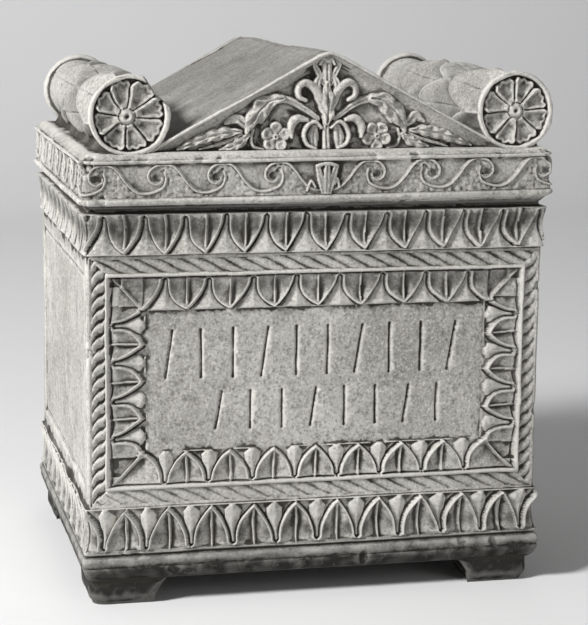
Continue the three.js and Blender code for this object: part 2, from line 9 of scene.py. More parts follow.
import bpy
import numpy as np
from mathutils import Matrix, Vector


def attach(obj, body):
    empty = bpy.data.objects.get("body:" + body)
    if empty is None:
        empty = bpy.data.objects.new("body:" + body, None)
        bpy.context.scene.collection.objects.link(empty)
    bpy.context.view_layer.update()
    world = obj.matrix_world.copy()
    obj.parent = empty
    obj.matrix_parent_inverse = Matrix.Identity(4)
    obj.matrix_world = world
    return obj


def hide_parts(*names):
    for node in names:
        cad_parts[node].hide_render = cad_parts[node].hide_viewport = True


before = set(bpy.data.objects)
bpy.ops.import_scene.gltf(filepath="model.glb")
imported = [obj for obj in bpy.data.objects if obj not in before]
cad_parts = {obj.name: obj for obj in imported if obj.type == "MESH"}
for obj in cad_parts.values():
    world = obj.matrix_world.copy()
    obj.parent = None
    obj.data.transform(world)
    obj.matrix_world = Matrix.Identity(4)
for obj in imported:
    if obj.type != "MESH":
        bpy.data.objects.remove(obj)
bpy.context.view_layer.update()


# View, light and floor
# The chest is seen a little from the left and from above, in soft light from the upper left, on a plain
# pale floor.
yaw, pitch, roll = 0.2332, 0.1752, 0.0115
forward = Vector((math.sin(yaw) * math.cos(pitch), math.cos(yaw) * math.cos(pitch), -math.sin(pitch)))
level = Vector((math.cos(yaw), -math.sin(yaw), 0))
above = level.cross(forward)
right = math.cos(roll) * level + math.sin(roll) * above
up = math.cos(roll) * above - math.sin(roll) * level

lens = bpy.data.cameras.new("view")
lens.lens = 115.2
lens.clip_end = 50
camera = bpy.data.objects.new("view", lens)
bpy.context.collection.objects.link(camera)
camera.matrix_world = Matrix.Translation((-0.3906407, -1.7167188, 0.5223479)) @ Matrix(
    (right, up, -forward)
).transposed().to_4x4()
bpy.context.scene.camera = camera


def lamp(name, place, size, watts, target=(0, 0, 0.22)):
    """A square soft lamp that faces the chest, or another target."""
    light = bpy.data.lights.new(name, "AREA")
    light.size = size
    light.energy = watts
    holder = bpy.data.objects.new(name, light)
    holder.location = place
    holder.rotation_euler = (Vector(target) - Vector(place)).to_track_quat("-Z", "Y").to_euler()
    bpy.context.collection.objects.link(holder)


lamp("lamp_upper_left", (-2.6, -1.25, 2.1), 0.7, 165)
lamp("lamp_front", (1.6, -3.0, 1.2), 1.8, 14)
lamp("lamp_backdrop", (0.6, 1.9, 2.7), 1.6, 5, target=(0.6, 2.7, 0.2))

sky = bpy.data.worlds.new("studio")
sky.use_nodes = True
sky.node_tree.nodes["Background"].inputs["Color"].default_value = (0.74, 0.74, 0.74, 1)
sky.node_tree.nodes["Background"].inputs["Strength"].default_value = 0.2
bpy.context.scene.world = sky
bpy.context.scene.view_settings.view_transform = "Standard"

# the floor runs back flat, then turns up into a wall
turn = [math.pi / 2 * i / 24 for i in range(25)]
profile = [(-9, 0), (2.2, 0)]
profile += [(2.2 + 0.8 * math.sin(a), 0.8 - 0.8 * math.cos(a)) for a in turn[1:]]
profile += [(3.0, 3.6)]
floor_points = [(x, y, z) for y, z in profile for x in (-9, 9)]
floor_faces = [(2 * i, 2 * i + 1, 2 * i + 3, 2 * i + 2) for i in range(len(profile) - 1)]
floor_mesh = bpy.data.meshes.new("floor")
floor_mesh.from_pydata(floor_points, [], floor_faces)
floor_mesh.shade_smooth()
floor = bpy.data.objects.new("floor", floor_mesh)
bpy.context.collection.objects.link(floor)
paper = bpy.data.materials.new("floor_paper")
paper.use_nodes = True
nodes, links = paper.node_tree.nodes, paper.node_tree.links
shader = nodes["Principled BSDF"]
shader.inputs["Roughness"].default_value = 0.9
mottle = nodes.new("ShaderNodeTexNoise")
mottle.inputs["Scale"].default_value = 2.2
tone = nodes.new("ShaderNodeValToRGB")
tone.color_ramp.elements[0].color = (0.76, 0.76, 0.76, 1)
tone.color_ramp.elements[1].color = (0.82, 0.82, 0.82, 1)
links.new(mottle.outputs["Fac"], tone.inputs["Fac"])
links.new(tone.outputs["Color"], shader.inputs["Base Color"])
floor_mesh.materials.append(paper)


# Chest
# One block of white marble, hollowed out from above, on four corner feet. Its mouldings and the frame of
# the front are cut by hand with chisel and running drill, so no two leaves are quite alike, and the edges
# are worn and chipped by use and burial.
half_x, half_y = 190, 160  # the plain faces
wall_thickness = 38
foot_height, foot_width = 22, 51.5
face_bottom, face_top = 82, 289
face_middle = (face_bottom + face_top) / 2
face_half = (face_top - face_bottom) / 2
chest_top = 326
frame_width, leaf_band = 45, 27


def grain(points, size, seed):
    """Smooth lumps from -1 to 1 at an array of points, each lump about as wide as size."""
    points = np.asarray(points, float)
    if points.shape[-1] == 2:
        points = np.concatenate([points, np.zeros(points.shape[:-1] + (1,))], axis=-1)
    random = np.random.default_rng(seed)
    order = random.permutation(256)
    heights = random.uniform(-1, 1, 256)
    cells = points / size + 1000
    low = np.floor(cells).astype(int)
    part = cells - low
    part = part * part * (3 - 2 * part)
    total = 0
    for dx in (0, 1):
        for dy in (0, 1):
            for dz in (0, 1):
                corner = order[(low[..., 0] + dx) & 255]
                corner = order[(corner + low[..., 1] + dy) & 255]
                corner = order[(corner + low[..., 2] + dz) & 255]
                share = (
                    np.abs(1 - dx - part[..., 0])
                    * np.abs(1 - dy - part[..., 1])
                    * np.abs(1 - dz - part[..., 2])
                )
                total = total + heights[corner] * share
    return total


def ease(x, low, high):
    """Rises smoothly from 0 at low to 1 at high."""
    t = np.clip((x - low) / (high - low), 0, 1)
    return t * t * (3 - 2 * t)


def bell(x, width):
    """1 at 0, falling away smoothly on both sides over about the width."""
    return np.exp(-((x / width) ** 2))


def near(a, b, line):
    """The distance of each point (a, b) to a line of points, the share of the line's length where it is
    nearest, and the side: 1 to the left of the line, -1 to the right."""
    line = np.asarray(line, float)
    steps = np.diff(line, axis=0)
    lengths = np.hypot(steps[:, 0], steps[:, 1])
    starts = np.concatenate([[0], np.cumsum(lengths)])
    best = np.full(np.shape(a), 1e9)
    share = np.zeros(np.shape(a))
    side = np.ones(np.shape(a))
    for (x, y), (dx, dy), length, start in zip(line, steps, lengths, starts):
        t = np.clip(((a - x) * dx + (b - y) * dy) / length**2, 0, 1)
        ex, ey = a - x - t * dx, b - y - t * dy
        distance = np.hypot(ex, ey)
        closer = distance < best
        best = np.where(closer, distance, best)
        share = np.where(closer, (start + t * length) / starts[-1], share)
        side = np.where(closer, np.where(dx * ey - dy * ex >= 0, 1, -1), side)
    return best, share, side


def leaf_spacing(place, end, tips_end, first, pitch, shift=0.0):
    """Where points along a moulding lie in its leaves: how far from the middle of the dart, how far from the
    midrib, how far apart those two are, and 1 on the right half of a leaf. The darts lie at first + i * pitch
    either way from the shifted middle, and the last leaf turns the corner, with its midrib at the end."""
    moved = place - shift
    last = first + np.floor((tips_end - first) / pitch - 0.3) * pitch
    beyond = np.abs(moved) - last
    nearest = pitch * np.abs(np.mod((moved - first) / pitch + 0.5, 1) - 0.5)
    to_dart = np.where(beyond > 0, beyond, nearest)
    reach = np.where(beyond > 0, np.maximum(end - shift * np.sign(moved) - last, 5), pitch / 2)
    right_half = np.mod((moved - first) / pitch, 1) > 0.5
    return to_dart, np.abs(reach - to_dart), reach, right_half


def leaf_relief(to_dart, to_midrib, v, height, reach, dart, rim, deeper=0.0):
    """The carving of a leaf moulding. v is the distance from the line of the tips, height that of the band,
    dart the half width of the darts at shares of the height, rim the height of the ribbon, and deeper how
    much more than usual the groove beside the leaf is cut. Where it is cut less the edge is steeper."""
    gap = 2.4
    t = np.clip(v / (0.9 * height), 0, 1)
    closing = np.clip((v / height - 0.9) / 0.075, 0, 1)
    power = np.where(np.asarray(deeper) < 0, 3.2, 2 - 0.4 * (np.asarray(deeper) > 0))
    edge = (gap + (reach - gap) * (1 - t) ** power) * np.sqrt(1 - closing**2)
    slope = power * (reach - gap) * (1 - t) ** (power - 1) / (0.9 * height)
    e = (to_dart - edge) / np.hypot(1, slope)
    within = np.clip(e, 0, None)
    share = within / (within + to_midrib + 0.01)
    up = v / height
    dip = 2.7 - 1.5 * (np.asarray(deeper) < 0)
    ribbon = rim * (1 + 0.5 * deeper) * bell(e - 1.1, 0.85)
    leaf = 1.1 - dip * ease(share, 0.15, 0.8) * ease(up, 0.04, 0.3) + ribbon
    leaf += 0.35 * np.cos(2 * np.pi * 1.5 * share) * ease(up, 0.45, 0.7)
    leaf += 2.3 * bell(to_midrib, 0.95) * ease(up, 0.08, 0.3)
    dart_half = np.interp(up, *dart)
    off = np.clip(to_dart / dart_half, 0, 1)
    ground = -3.0 + (1.5 + 2.0 * (1 - off)) * ease(1 - off, 0, 0.14) * (1 - closing)
    step = ease(e, -0.45, 0.4)
    return leaf * step + ground * (1 - step) - (0.8 + deeper) * bell(e + 0.8, 0.65)


def wander(place, level, seed, amount=1.0):
    """The small sideways wander of hand-cut work along a band."""
    points = np.stack(np.broadcast_arrays(place, level), axis=-1)
    return amount * (0.9 * grain(points, 37, seed) + 0.5 * grain(points, 13, seed + 1))


def columns_round(half_a, half_b, spacings):
    """Points round a rectangle, counter-clockwise from the low left corner: front, right, back, left. Gives
    the side, the place along it from its middle, and the point, for each."""
    sides, places, points = [], [], []
    turns = [(1, 0, 0, -1), (0, 1, 1, 0), (-1, 0, 0, 1), (0, -1, -1, 0)]
    for side, (spacing, (ax, ay, nx, ny)) in enumerate(zip(spacings, turns)):
        half, distance = (half_a, half_b) if side % 2 == 0 else (half_b, half_a)
        count = round(2 * half / spacing)
        place = np.linspace(-half, half, count + 1)[:-1]
        near_corner = half - np.array([2.6, 1.7, 0.8])
        place = np.sort(np.concatenate([place, near_corner, -near_corner]))
        place = place[np.concatenate([[True], np.diff(place) > 0.3])]
        sides.append(np.full(place.shape, side))
        places.append(place)
        points.append(np.column_stack([ax * place + nx * distance, ay * place + ny * distance]))
    return np.concatenate(sides), np.concatenate(places), np.concatenate(points)


def wall_places(points, level_z):
    """The places of a net over plain upright sides, with the points along it and these heights."""
    return np.stack([points[None, :, 0] + 0 * level_z, points[None, :, 1] + 0 * level_z, level_z], axis=-1)


def set_out(points, halves, out, radius):
    """The points of a rectangle moved out by out, with corners rounded to the radius."""
    sizes = [halves[0] + out, halves[1] + out]
    moved = [points[:, k] * sizes[k] / halves[k] for k in (0, 1)]
    over = [np.abs(moved[k]) - (sizes[k] - radius) for k in (0, 1)]
    corner = (over[0] > 0) & (over[1] > 0)
    far = np.maximum(np.hypot(over[0], over[1]), 1e-6)
    rounded = [
        np.where(corner, np.sign(moved[k]) * (sizes[k] - radius + over[k] / far * radius), moved[k])
        for k in (0, 1)
    ]
    return np.stack(rounded, axis=-1)


def net_mesh(name, rings, start=None, end=None):
    """A mesh over rings of points, each closed round, from the first to the last. start and end are the
    points that close it."""
    rows, columns = rings.shape[:2]
    corner = np.arange(rows * columns).reshape(rows, columns)
    ahead = np.roll(corner, -1, axis=1)
    quads = np.stack([corner[:-1], ahead[:-1], ahead[1:], corner[1:]], axis=-1).reshape(-1, 4)
    points = rings.reshape(-1, 3)
    total = len(points)
    a, b, c = (points[quads[:, k]] for k in (0, 1, 2))
    inside_out = (np.cross(b - a, c - a) * (a - points.mean(axis=0))).sum() < 0
    caps = [
        np.stack([np.full(columns, total), ahead[0], corner[0]], axis=-1),
        np.stack([corner[-1], ahead[-1], np.full(columns, total + 1)], axis=-1),
    ]
    start = rings[0].mean(axis=0) if start is None else start
    end = rings[-1].mean(axis=0) if end is None else end
    points = np.concatenate([points, [start, end]]) / 1000
    mesh = bpy.data.meshes.new(name)
    mesh.vertices.add(len(points))
    mesh.vertices.foreach_set("co", points.astype(np.float32).ravel())
    turn = -1 if inside_out else 1
    corners = np.concatenate([faces[:, ::turn].ravel() for faces in (quads, *caps)])
    sizes = np.concatenate([np.full(len(quads), 4), np.full(2 * columns, 3)])
    mesh.loops.add(len(corners))
    mesh.loops.foreach_set("vertex_index", corners.astype(np.int32))
    mesh.polygons.add(len(sizes))
    mesh.polygons.foreach_set("loop_start", (np.cumsum(sizes) - sizes).astype(np.int32))
    mesh.update(calc_edges=True)
    mesh.validate()
    piece = bpy.data.objects.new(name, mesh)
    bpy.context.collection.objects.link(piece)
    return piece


def settle(piece):
    """Makes a piece's modifiers part of its mesh."""
    bpy.context.view_layer.update()
    done = bpy.data.meshes.new_from_object(piece.evaluated_get(bpy.context.evaluated_depsgraph_get()))
    piece.modifiers.clear()
    piece.data = done


def lighten(piece, triangles):
    """Brings a dense net down to about this many triangles, most of them left where it is carved."""
    piece.data.calc_loop_triangles()
    thinning = piece.modifiers.new("thinning", "DECIMATE")
    thinning.ratio = min(1, triangles / len(piece.data.loop_triangles))
    settle(piece)


def chip_away(out, points, chips):
    """Takes small breaks out of an edge. Each is a middle, a radius and a depth."""
    out = out.copy()
    for *middle, radius, depth in chips:
        close = (np.abs(points - np.array(middle)) < 1.3 * radius).all(axis=-1)
        spots = points[close]
        ragged = 0.25 * radius * grain(spots, radius * 0.7, 91)
        away = np.linalg.norm(spots - np.array(middle), axis=-1) + ragged
        out[close] -= depth * ease(1 - away / radius, 0, 0.55)
    return out


def foot_outline(place, half):
    """The height of the underside along a side: 0 under a foot, then up in a hollow curve."""
    inner = half - foot_width
    t = np.linspace(0, 1, 30)
    along = inner - 14.4 * t * (1 - t) - 18 * t**2
    height = 2 * t * (1 - t) * 19.8 + 26 * t**2
    risen = np.interp(-np.abs(place), -along, height)
    return np.minimum(risen, foot_height - 0.3)


def hollow_course(low, tall, out, gain):
    """The part of the walls' outline under a leaf moulding: a shallow hollow that leans out by the gain."""
    shares = np.linspace(0, 1, 9)
    return [(low + tall * t, out + gain * t - 2.4 * math.sin(math.pi * t)) for t in shares]


side, place, base_points = columns_round(half_x, half_y, (0.75, 1.5, 1.8, 1.3))
halves = (half_x, half_y)
end = np.where(side % 2 == 0, half_x, half_y).astype(float)
outline = [
    (22, -1.0), (22.8, 0.2), (24, 1.1), (26, 2.2), (28.5, 3.2), (31, 3.9), (32.6, 3.9), (33.4, 3.4),
    (34.4, 4.2), (36.5, 4.8), (39, 4.7), (41, 3.8), (42.4, 2.1), (43.2, 1.2), (44.0, 1.6), (44.6, 3.2),
    (45.8, 3.5), (46.2, 3.0),
]
outline += hollow_course(46.6, 35.2, 2.9, 0.6)
outline += [(82.4, 0), (face_top - 0.2, 0), (face_top + 0.3, 2.5)]
outline += hollow_course(289.6, 32.0, 2.5, 1.0)
outline += [(322.0, 3.2), (322.6, -1.6), (chest_top, -2.0)]
outline = np.array(outline)
edges_z = [46.2, 82.2, 289.2, 321.9, 322.3, 322.7, chest_top]
wall_z = np.unique(np.concatenate([np.arange(foot_height, chest_top, 0.75), edges_z]))
level_z = wall_z[:, None] + 0 * place[None, :]
along = place[None, :] + 0 * level_z
flat = wall_places(base_points, level_z)
slow = 0.5 * grain(flat, 60, 5) + 0.35 * grain(flat, 21, 6)
out = np.interp(level_z + 0.5 * grain(flat, 45, 7), outline[:, 0], outline[:, 1])
carved = side[None, :] != 2

# the two leaf mouldings
tall_dart = ([0, 0.15, 0.4, 0.7, 0.9], [14.5, 10.5, 6.0, 3.8, 2.8])
lozenge_dart = ([0, 0.15, 0.4, 0.7, 0.92], [2.6, 7.2, 6.2, 3.2, 2.2])
for tips, ends, pitch, first, shift, dart, rim, seed in (
    (81.6, 47.0, 35, 0.0, 0.0, lozenge_dart, 1.3, 11),
    (289.6, 321.8, 32.5, 16.25, 4.5, tall_dart, 0.6, 12),
):
    low, high = min(tips, ends), max(tips, ends)
    rows = (wall_z > low - 0.4) & (wall_z < high + 0.4)
    z, x = level_z[rows], along[rows]
    apart = x + 400 * side  # no two sides are cut alike
    shifts = np.where(side == 0, shift, 0.0)
    to_dart, to_midrib, reach, right_half = leaf_spacing(
        x + wander(apart, z, seed, 1.3), end + 3, end, first, pitch, shifts
    )
    deeper = (1.3 * right_half - 0.6) * (shift > 0)
    uneven = 0.9 * grain(np.stack([apart, 0 * z], axis=-1), 19, seed + 60)
    v = np.clip(np.abs(z - tips) + uneven, 0, None)
    worn = 0.95 + 0.25 * grain(flat[rows], 30, seed + 40)
    relief = leaf_relief(to_dart, to_midrib, v, abs(ends - tips), reach, dart, rim, deeper) * worn
    relief *= np.where(side % 2 == 1, 0.6, 1.0)
    relief = np.where(carved, relief, 0) * ease(z, low - 0.4, low + 0.5)
    out[rows] += relief * (1 - ease(z, high - 0.5, high + 0.4))

# the frame of the front: plain edge, cable, fillet, leaves, sunk field
front = (side[None, :] == 0) & (level_z > face_bottom) & (level_z < face_top)
x, z = along[front], level_z[front] - face_middle
x = x + wander(x, z, 21, 0.5)
z = z + wander(x, z, 23, 0.5)
spots = np.stack([x, z], axis=-1)
from_side, from_end = half_x - np.abs(x), face_half - np.abs(z)
inset = np.minimum(from_side, from_end)
upright = from_side < from_end
cable = (inset > 3) & (inset < 15)
across = np.clip((inset - 3) / 12, 0, 1)
shaped = across + 0.1 * np.sin(2 * np.pi * across)
left_turn = z - 13.0 * shaped
right_turn = z - 13.0 * (1 - shaped)
level_turn = x + 22 * (z - face_half * np.sign(z)) / 12
turn = np.where(upright, np.where(x < 0, left_turn / 10.9, right_turn / 11.3), level_turn / 17.3)
strand = (0.5 - 0.5 * np.cos(2 * np.pi * np.mod(turn, 1))) ** 0.55
depth = np.where(upright, np.where(x < 0, 3.6, 1.9), np.where(z > 0, 2.2, 1.5))
rounded = np.sin(np.pi * np.clip(across * 1.04, 0, 1)) ** 0.35
relief = np.where(cable, -depth * (1 - strand) * rounded - 0.2, 0.0)
relief -= 0.8 * bell(inset - 2.8, 0.7) * np.where(upright & (x < 0), 1, 0.5)
relief += 1.3 * ease(inset, 14.4, 15.6) * (1 - ease(inset, 17.3, 18.3))
leaves = (inset > 17.6) & (inset < frame_width)
v = np.clip(frame_width - inset + 0.6 * grain(spots, 17, 36), 0, leaf_band)
cuts = []
for spot, half, first, pitch, leaning, darts in (
    (x + 0.8 * wander(x, z, 31), half_x, 18.25, 36.5, 1.0 * (z > 0), (tall_dart, lozenge_dart)),
    (z + 0.8 * wander(z, x, 33), face_half, 15.5, 31, -1.0, (lozenge_dart, lozenge_dart)),
):
    to_dart, to_midrib, reach, right_half = leaf_spacing(
        spot, half - inset, half - frame_width, first, pitch
    )
    deep_side = np.where(leaning > 0, right_half, ~right_half)
    deeper = np.where(leaning == 0, 0, 1.2 * deep_side - 0.5)
    corner = reach > pitch / 2 + 0.1
    to_midrib = np.where(corner, to_midrib / math.sqrt(2), to_midrib)
    reach = np.where(corner, reach - v, reach)
    upper, lower = (leaf_relief(to_dart, to_midrib, v, 26.4, reach, dart, 0.8, deeper) for dart in darts)
    cuts.append(np.where(z > 0, upper, lower))
worn = 0.95 + 0.22 * grain(spots, 30, 34)
cut = np.where(upright, cuts[1], cuts[0]) * worn
ground = -0.7 - 1.1 * np.sin(np.pi * np.clip(v / leaf_band, 0, 1)) - 0.6 * ease(v, 0, leaf_band)
relief = np.where(leaves, ground + cut, relief)
relief -= 1.6 * bell(inset - 18.4, 0.6)
in_field = ease(inset, 44.4, 45.6)
relief = relief * (1 - in_field) - 3.5 * in_field
pitting = 0.35 * (1 - ease(inset, 45, 52)) * grain(spots, 5, 37) + 0.13 * grain(spots, 2.6, 38)
relief += in_field * pitting

# two rows of plain cuts across the field
strokes = [(-126 + 27 * i, 207, 40, i) for i in range(10)] + [(-84 + 27 * i, 159.5, 31, i) for i in range(8)]
for middle, height, length, i in strokes:
    lean = 0 if i % 3 else 0.16
    top = np.array([math.sin(lean), math.cos(lean)]) * length / 2
    foot = np.array([middle, height - face_middle])
    close = (np.abs(x - middle) < 9) & (np.abs(z - foot[1]) < length / 2 + 4)
    away, share, _ = near(x[close], z[close], [foot - top, foot + top])
    relief[close] -= 2.1 * np.clip(1 - away / 1.8, 0, 1)
out[front] += relief

# shallow sunk panels on the two sides, with a scratched border
plain = (side[None, :] % 2 == 1) & (level_z > face_bottom) & (level_z < face_top)
y, z = along[plain], level_z[plain] - face_middle
inset = np.minimum(half_y - np.abs(y), face_half - np.abs(z)) + 0.8 * grain(np.stack([y, z], axis=-1), 30, 41)
out[plain] += -1.1 * ease(inset, 14.6, 16.4) - 0.7 * bell(inset - 18.5, 0.9)
scratch, _, _ = near(y, z, [(-30, 26), (60, -62)])
out[plain] -= 0.6 * bell(scratch, 0.9)

# wear, tool marks and breaks
plain_wear = np.where(side[None, :] == 2, 1.0, 0.4)
out += 0.35 * slow + 0.25 * grain(flat, 8, 8) + 0.35 * plain_wear * grain(flat, 14, 10)
random = np.random.default_rng(17)
chips = [
    (-190, -162, 322, 7, 2.2), (-194, -140, 30, 9, 2.0), (-60, -164, 326, 5, 1.6), (120, -164, 325, 6, 1.8),
    (-150, -164, 44, 7, 1.6), (40, -165, 30, 8, 1.8), (150, -165, 38, 7, 1.7), (192, -160, 150, 6, 1.6),
    (-190, -160, 210, 5, 1.3), (-192, 60, 324, 8, 2.2), (190, -160, 255, 5, 1.4), (80, 163, 322, 9, 2.5),
]
for _ in range(30):
    edge_z = random.choice([24, 30, 40, 46, 81, 290, 322, 325])
    spot = base_points[random.integers(len(base_points))]
    chips.append((spot[0] * 1.015, spot[1] * 1.02, edge_z, random.uniform(2.5, 6), random.uniform(0.5, 1.5)))
out = chip_away(out, flat, chips)

wall_rings = np.stack([set_out(base_points, halves, row, 3.0) for row in out])
wall_rings = np.concatenate([wall_rings, level_z[..., None]], axis=-1)

# the feet and the underside
bottom_z = np.where(side % 2 == 0, foot_outline(place, half_x), foot_outline(place, half_y))
foot_rings = []
for t in np.linspace(0, 1, 13)[:-1]:
    z = bottom_z + (foot_height - bottom_z) * t
    tucked = -1.6 - 3.6 * (1 - ease(z, 0, 9)) ** 1.5
    spot = np.column_stack([base_points, z])
    tucked = tucked + 0.4 * grain(spot, 16, 51) + 0.2 * grain(spot, 5, 52)
    xy = set_out(base_points, halves, tucked, 11.0)
    foot_rings.append(np.column_stack([xy, z]))
under_rings = []
rim_xy = foot_rings[0][:, :2]
for inward in [2, 5, 9, 14, 20, 27, 34, 40, 45, 48, 50, 52, 54, 56, 58, 60, 62, 64, 66, 69, 76, 90, 110]:
    size = np.array(halves) - 1.5 - inward
    xy = rim_xy * size / np.abs(rim_xy).max(axis=0)
    z = np.maximum(foot_outline(xy[:, 0], half_x), foot_outline(xy[:, 1], half_y))
    z = np.maximum(z - 0.5 * (z > 3) * (0.5 + 0.5 * grain(xy, 11, 53)), 0)
    under_rings.append(np.column_stack([xy, z]))

# the rim and the hollow
hollow_halves = (half_x - wall_thickness, half_y - wall_thickness)
inner = base_points * (np.array(hollow_halves) / np.array(halves))
inner = set_out(inner, hollow_halves, 0 * place, 14.0)
top_xy = wall_rings[-1][:, :2]
rim_rings = []
for t in (0.08, 0.3, 0.6, 0.9, 0.975):
    spot = top_xy * (1 - t) + inner * t
    z = chest_top - 0.25 * np.abs(grain(spot, 12, 61)) - 0.1
    rim_rings.append(np.column_stack([spot, z]))
hollow_rings = []
for z in (325, 322, 310, 290, 265, 240, 215, 190, 165, 140, 115, 95, 80, 70, 65, 62.6):
    spot = np.column_stack([inner, 0 * place + z])
    worked = 1 - 0.004 * (1 + grain(spot, 22, 62)) * (z < 323)
    hollow_rings.append(np.column_stack([inner * worked[:, None], spot[:, 2]]))
for share in (0.985, 0.93, 0.8, 0.6, 0.4, 0.2):
    spot = inner * share
    hollow_rings.append(np.column_stack([spot, 61.2 + 0.5 * grain(spot, 25, 63)]))

rings = np.stack(under_rings[::-1] + foot_rings + list(wall_rings) + rim_rings + hollow_rings)
chest = net_mesh("chest_marble", rings)
lighten(chest, 186000)


def per_point(piece, name):
    """The places or the normals of a piece's points, in rows of three."""
    values = np.empty(3 * len(piece.data.vertices), np.float32)
    piece.data.vertices.foreach_get(name, values)
    return values.reshape(-1, 3)


def hollows(piece, passes):
    """How far each point of a piece lies behind its smoothed surface, in millimetres."""
    mesh = piece.data
    count = len(mesh.vertices)
    points = per_point(piece, "co").astype(float)
    edges = np.empty(len(mesh.edges) * 2, np.int32)
    mesh.edges.foreach_get("vertices", edges)
    a, b = edges.reshape(-1, 2).T
    degree = np.bincount(a, minlength=count) + np.bincount(b, minlength=count)
    smooth = points.copy()
    for _ in range(passes):
        total = np.empty_like(smooth)
        for k in range(3):
            total[:, k] = np.bincount(a, smooth[b, k], count) + np.bincount(b, smooth[a, k], count)
        smooth = 0.3 * smooth + 0.7 * total / degree[:, None]
    return 1000 * ((smooth - points) * per_point(piece, "normal")).sum(axis=1)


def record_hollows(piece, shade, clean=None):
    """Keeps the depth of the carving at each point of a piece, and how far it is darkened by weathering and
    painted shade, for the dirt and painted shade in its finish. shade gives that darkening from places in
    millimetres and normals, and clean how much of the dirt and painted shade is gone from the broad hollows."""
    fine, broad = hollows(piece, 3), hollows(piece, 16)
    spots = 1000.0 * per_point(piece, "co").astype(float)
    weather_and_shade = shade(spots, per_point(piece, "normal").astype(float))
    if clean:
        fine, broad = fine * (1 - 0.6 * clean(spots)), broad * (1 - clean(spots))
    for name, values in (("fine_hollow", fine), ("broad_hollow", broad), ("weather_and_shade", weather_and_shade)):
        layer = piece.data.attributes.new(name, "FLOAT", "POINT")
        layer.data.foreach_set("value", np.clip(values, -6, 6).astype(np.float32))
    piece.data.shade_smooth()


def chest_weather_and_shade(spots, normals):
    """Darkest on the feet and the lower course, with a painted shade line in the groove over the feet; darker
    under the lid, as painted shade with some dirt, with a painted black shadow in the recess below the lid's
    edge; darker under the upper edge of the frame as painted shade, and down its sides."""
    z = spots[:, 2] + 3 * grain(spots, 12, 132)
    low = 1.25 - 0.1 * ease(z, 22, 30) - 0.5 * ease(z, 30, 40)
    low = low - 0.6 * ease(z, 44, 52) - 0.05 * ease(z, 60, 80)
    # painted shade: a dark line in the groove above the feet
    low += 0.3 * bell(spots[:, 2] - 42.8, 1.2)
    leaves = 0.3 * ease(z, 49, 53) * (1 - ease(z, 58, 72))
    # painted shade from the lid over the upper leaves, with some dirt, and a painted black shadow in the
    # recess under the lid
    shade_and_dirt_under_lid = 0.66 * ease(z, 298, 309) * (1 - 0.3 * ease(z, 317, 320))
    shade_and_dirt_under_lid += 0.6 * ease(spots[:, 2], 322.1, 322.6)
    framed = (spots[:, 1] < -half_y + 6) & (np.abs(spots[:, 0]) < 171.5) & (spots[:, 2] < 271)
    # painted shade under the upper edge of the frame
    shade_under_fillet = framed * 0.5 * ease(z, 252, 262)
    beside = framed * (np.abs(spots[:, 0]) > 150) * 0.22 * ease(z, 105, 125)
    low += 0.12 * grain(spots, 30, 131) * (z < 60)
    return low + leaves + shade_and_dirt_under_lid + np.maximum(shade_under_fillet, beside)


record_hollows(chest, chest_weather_and_shade)


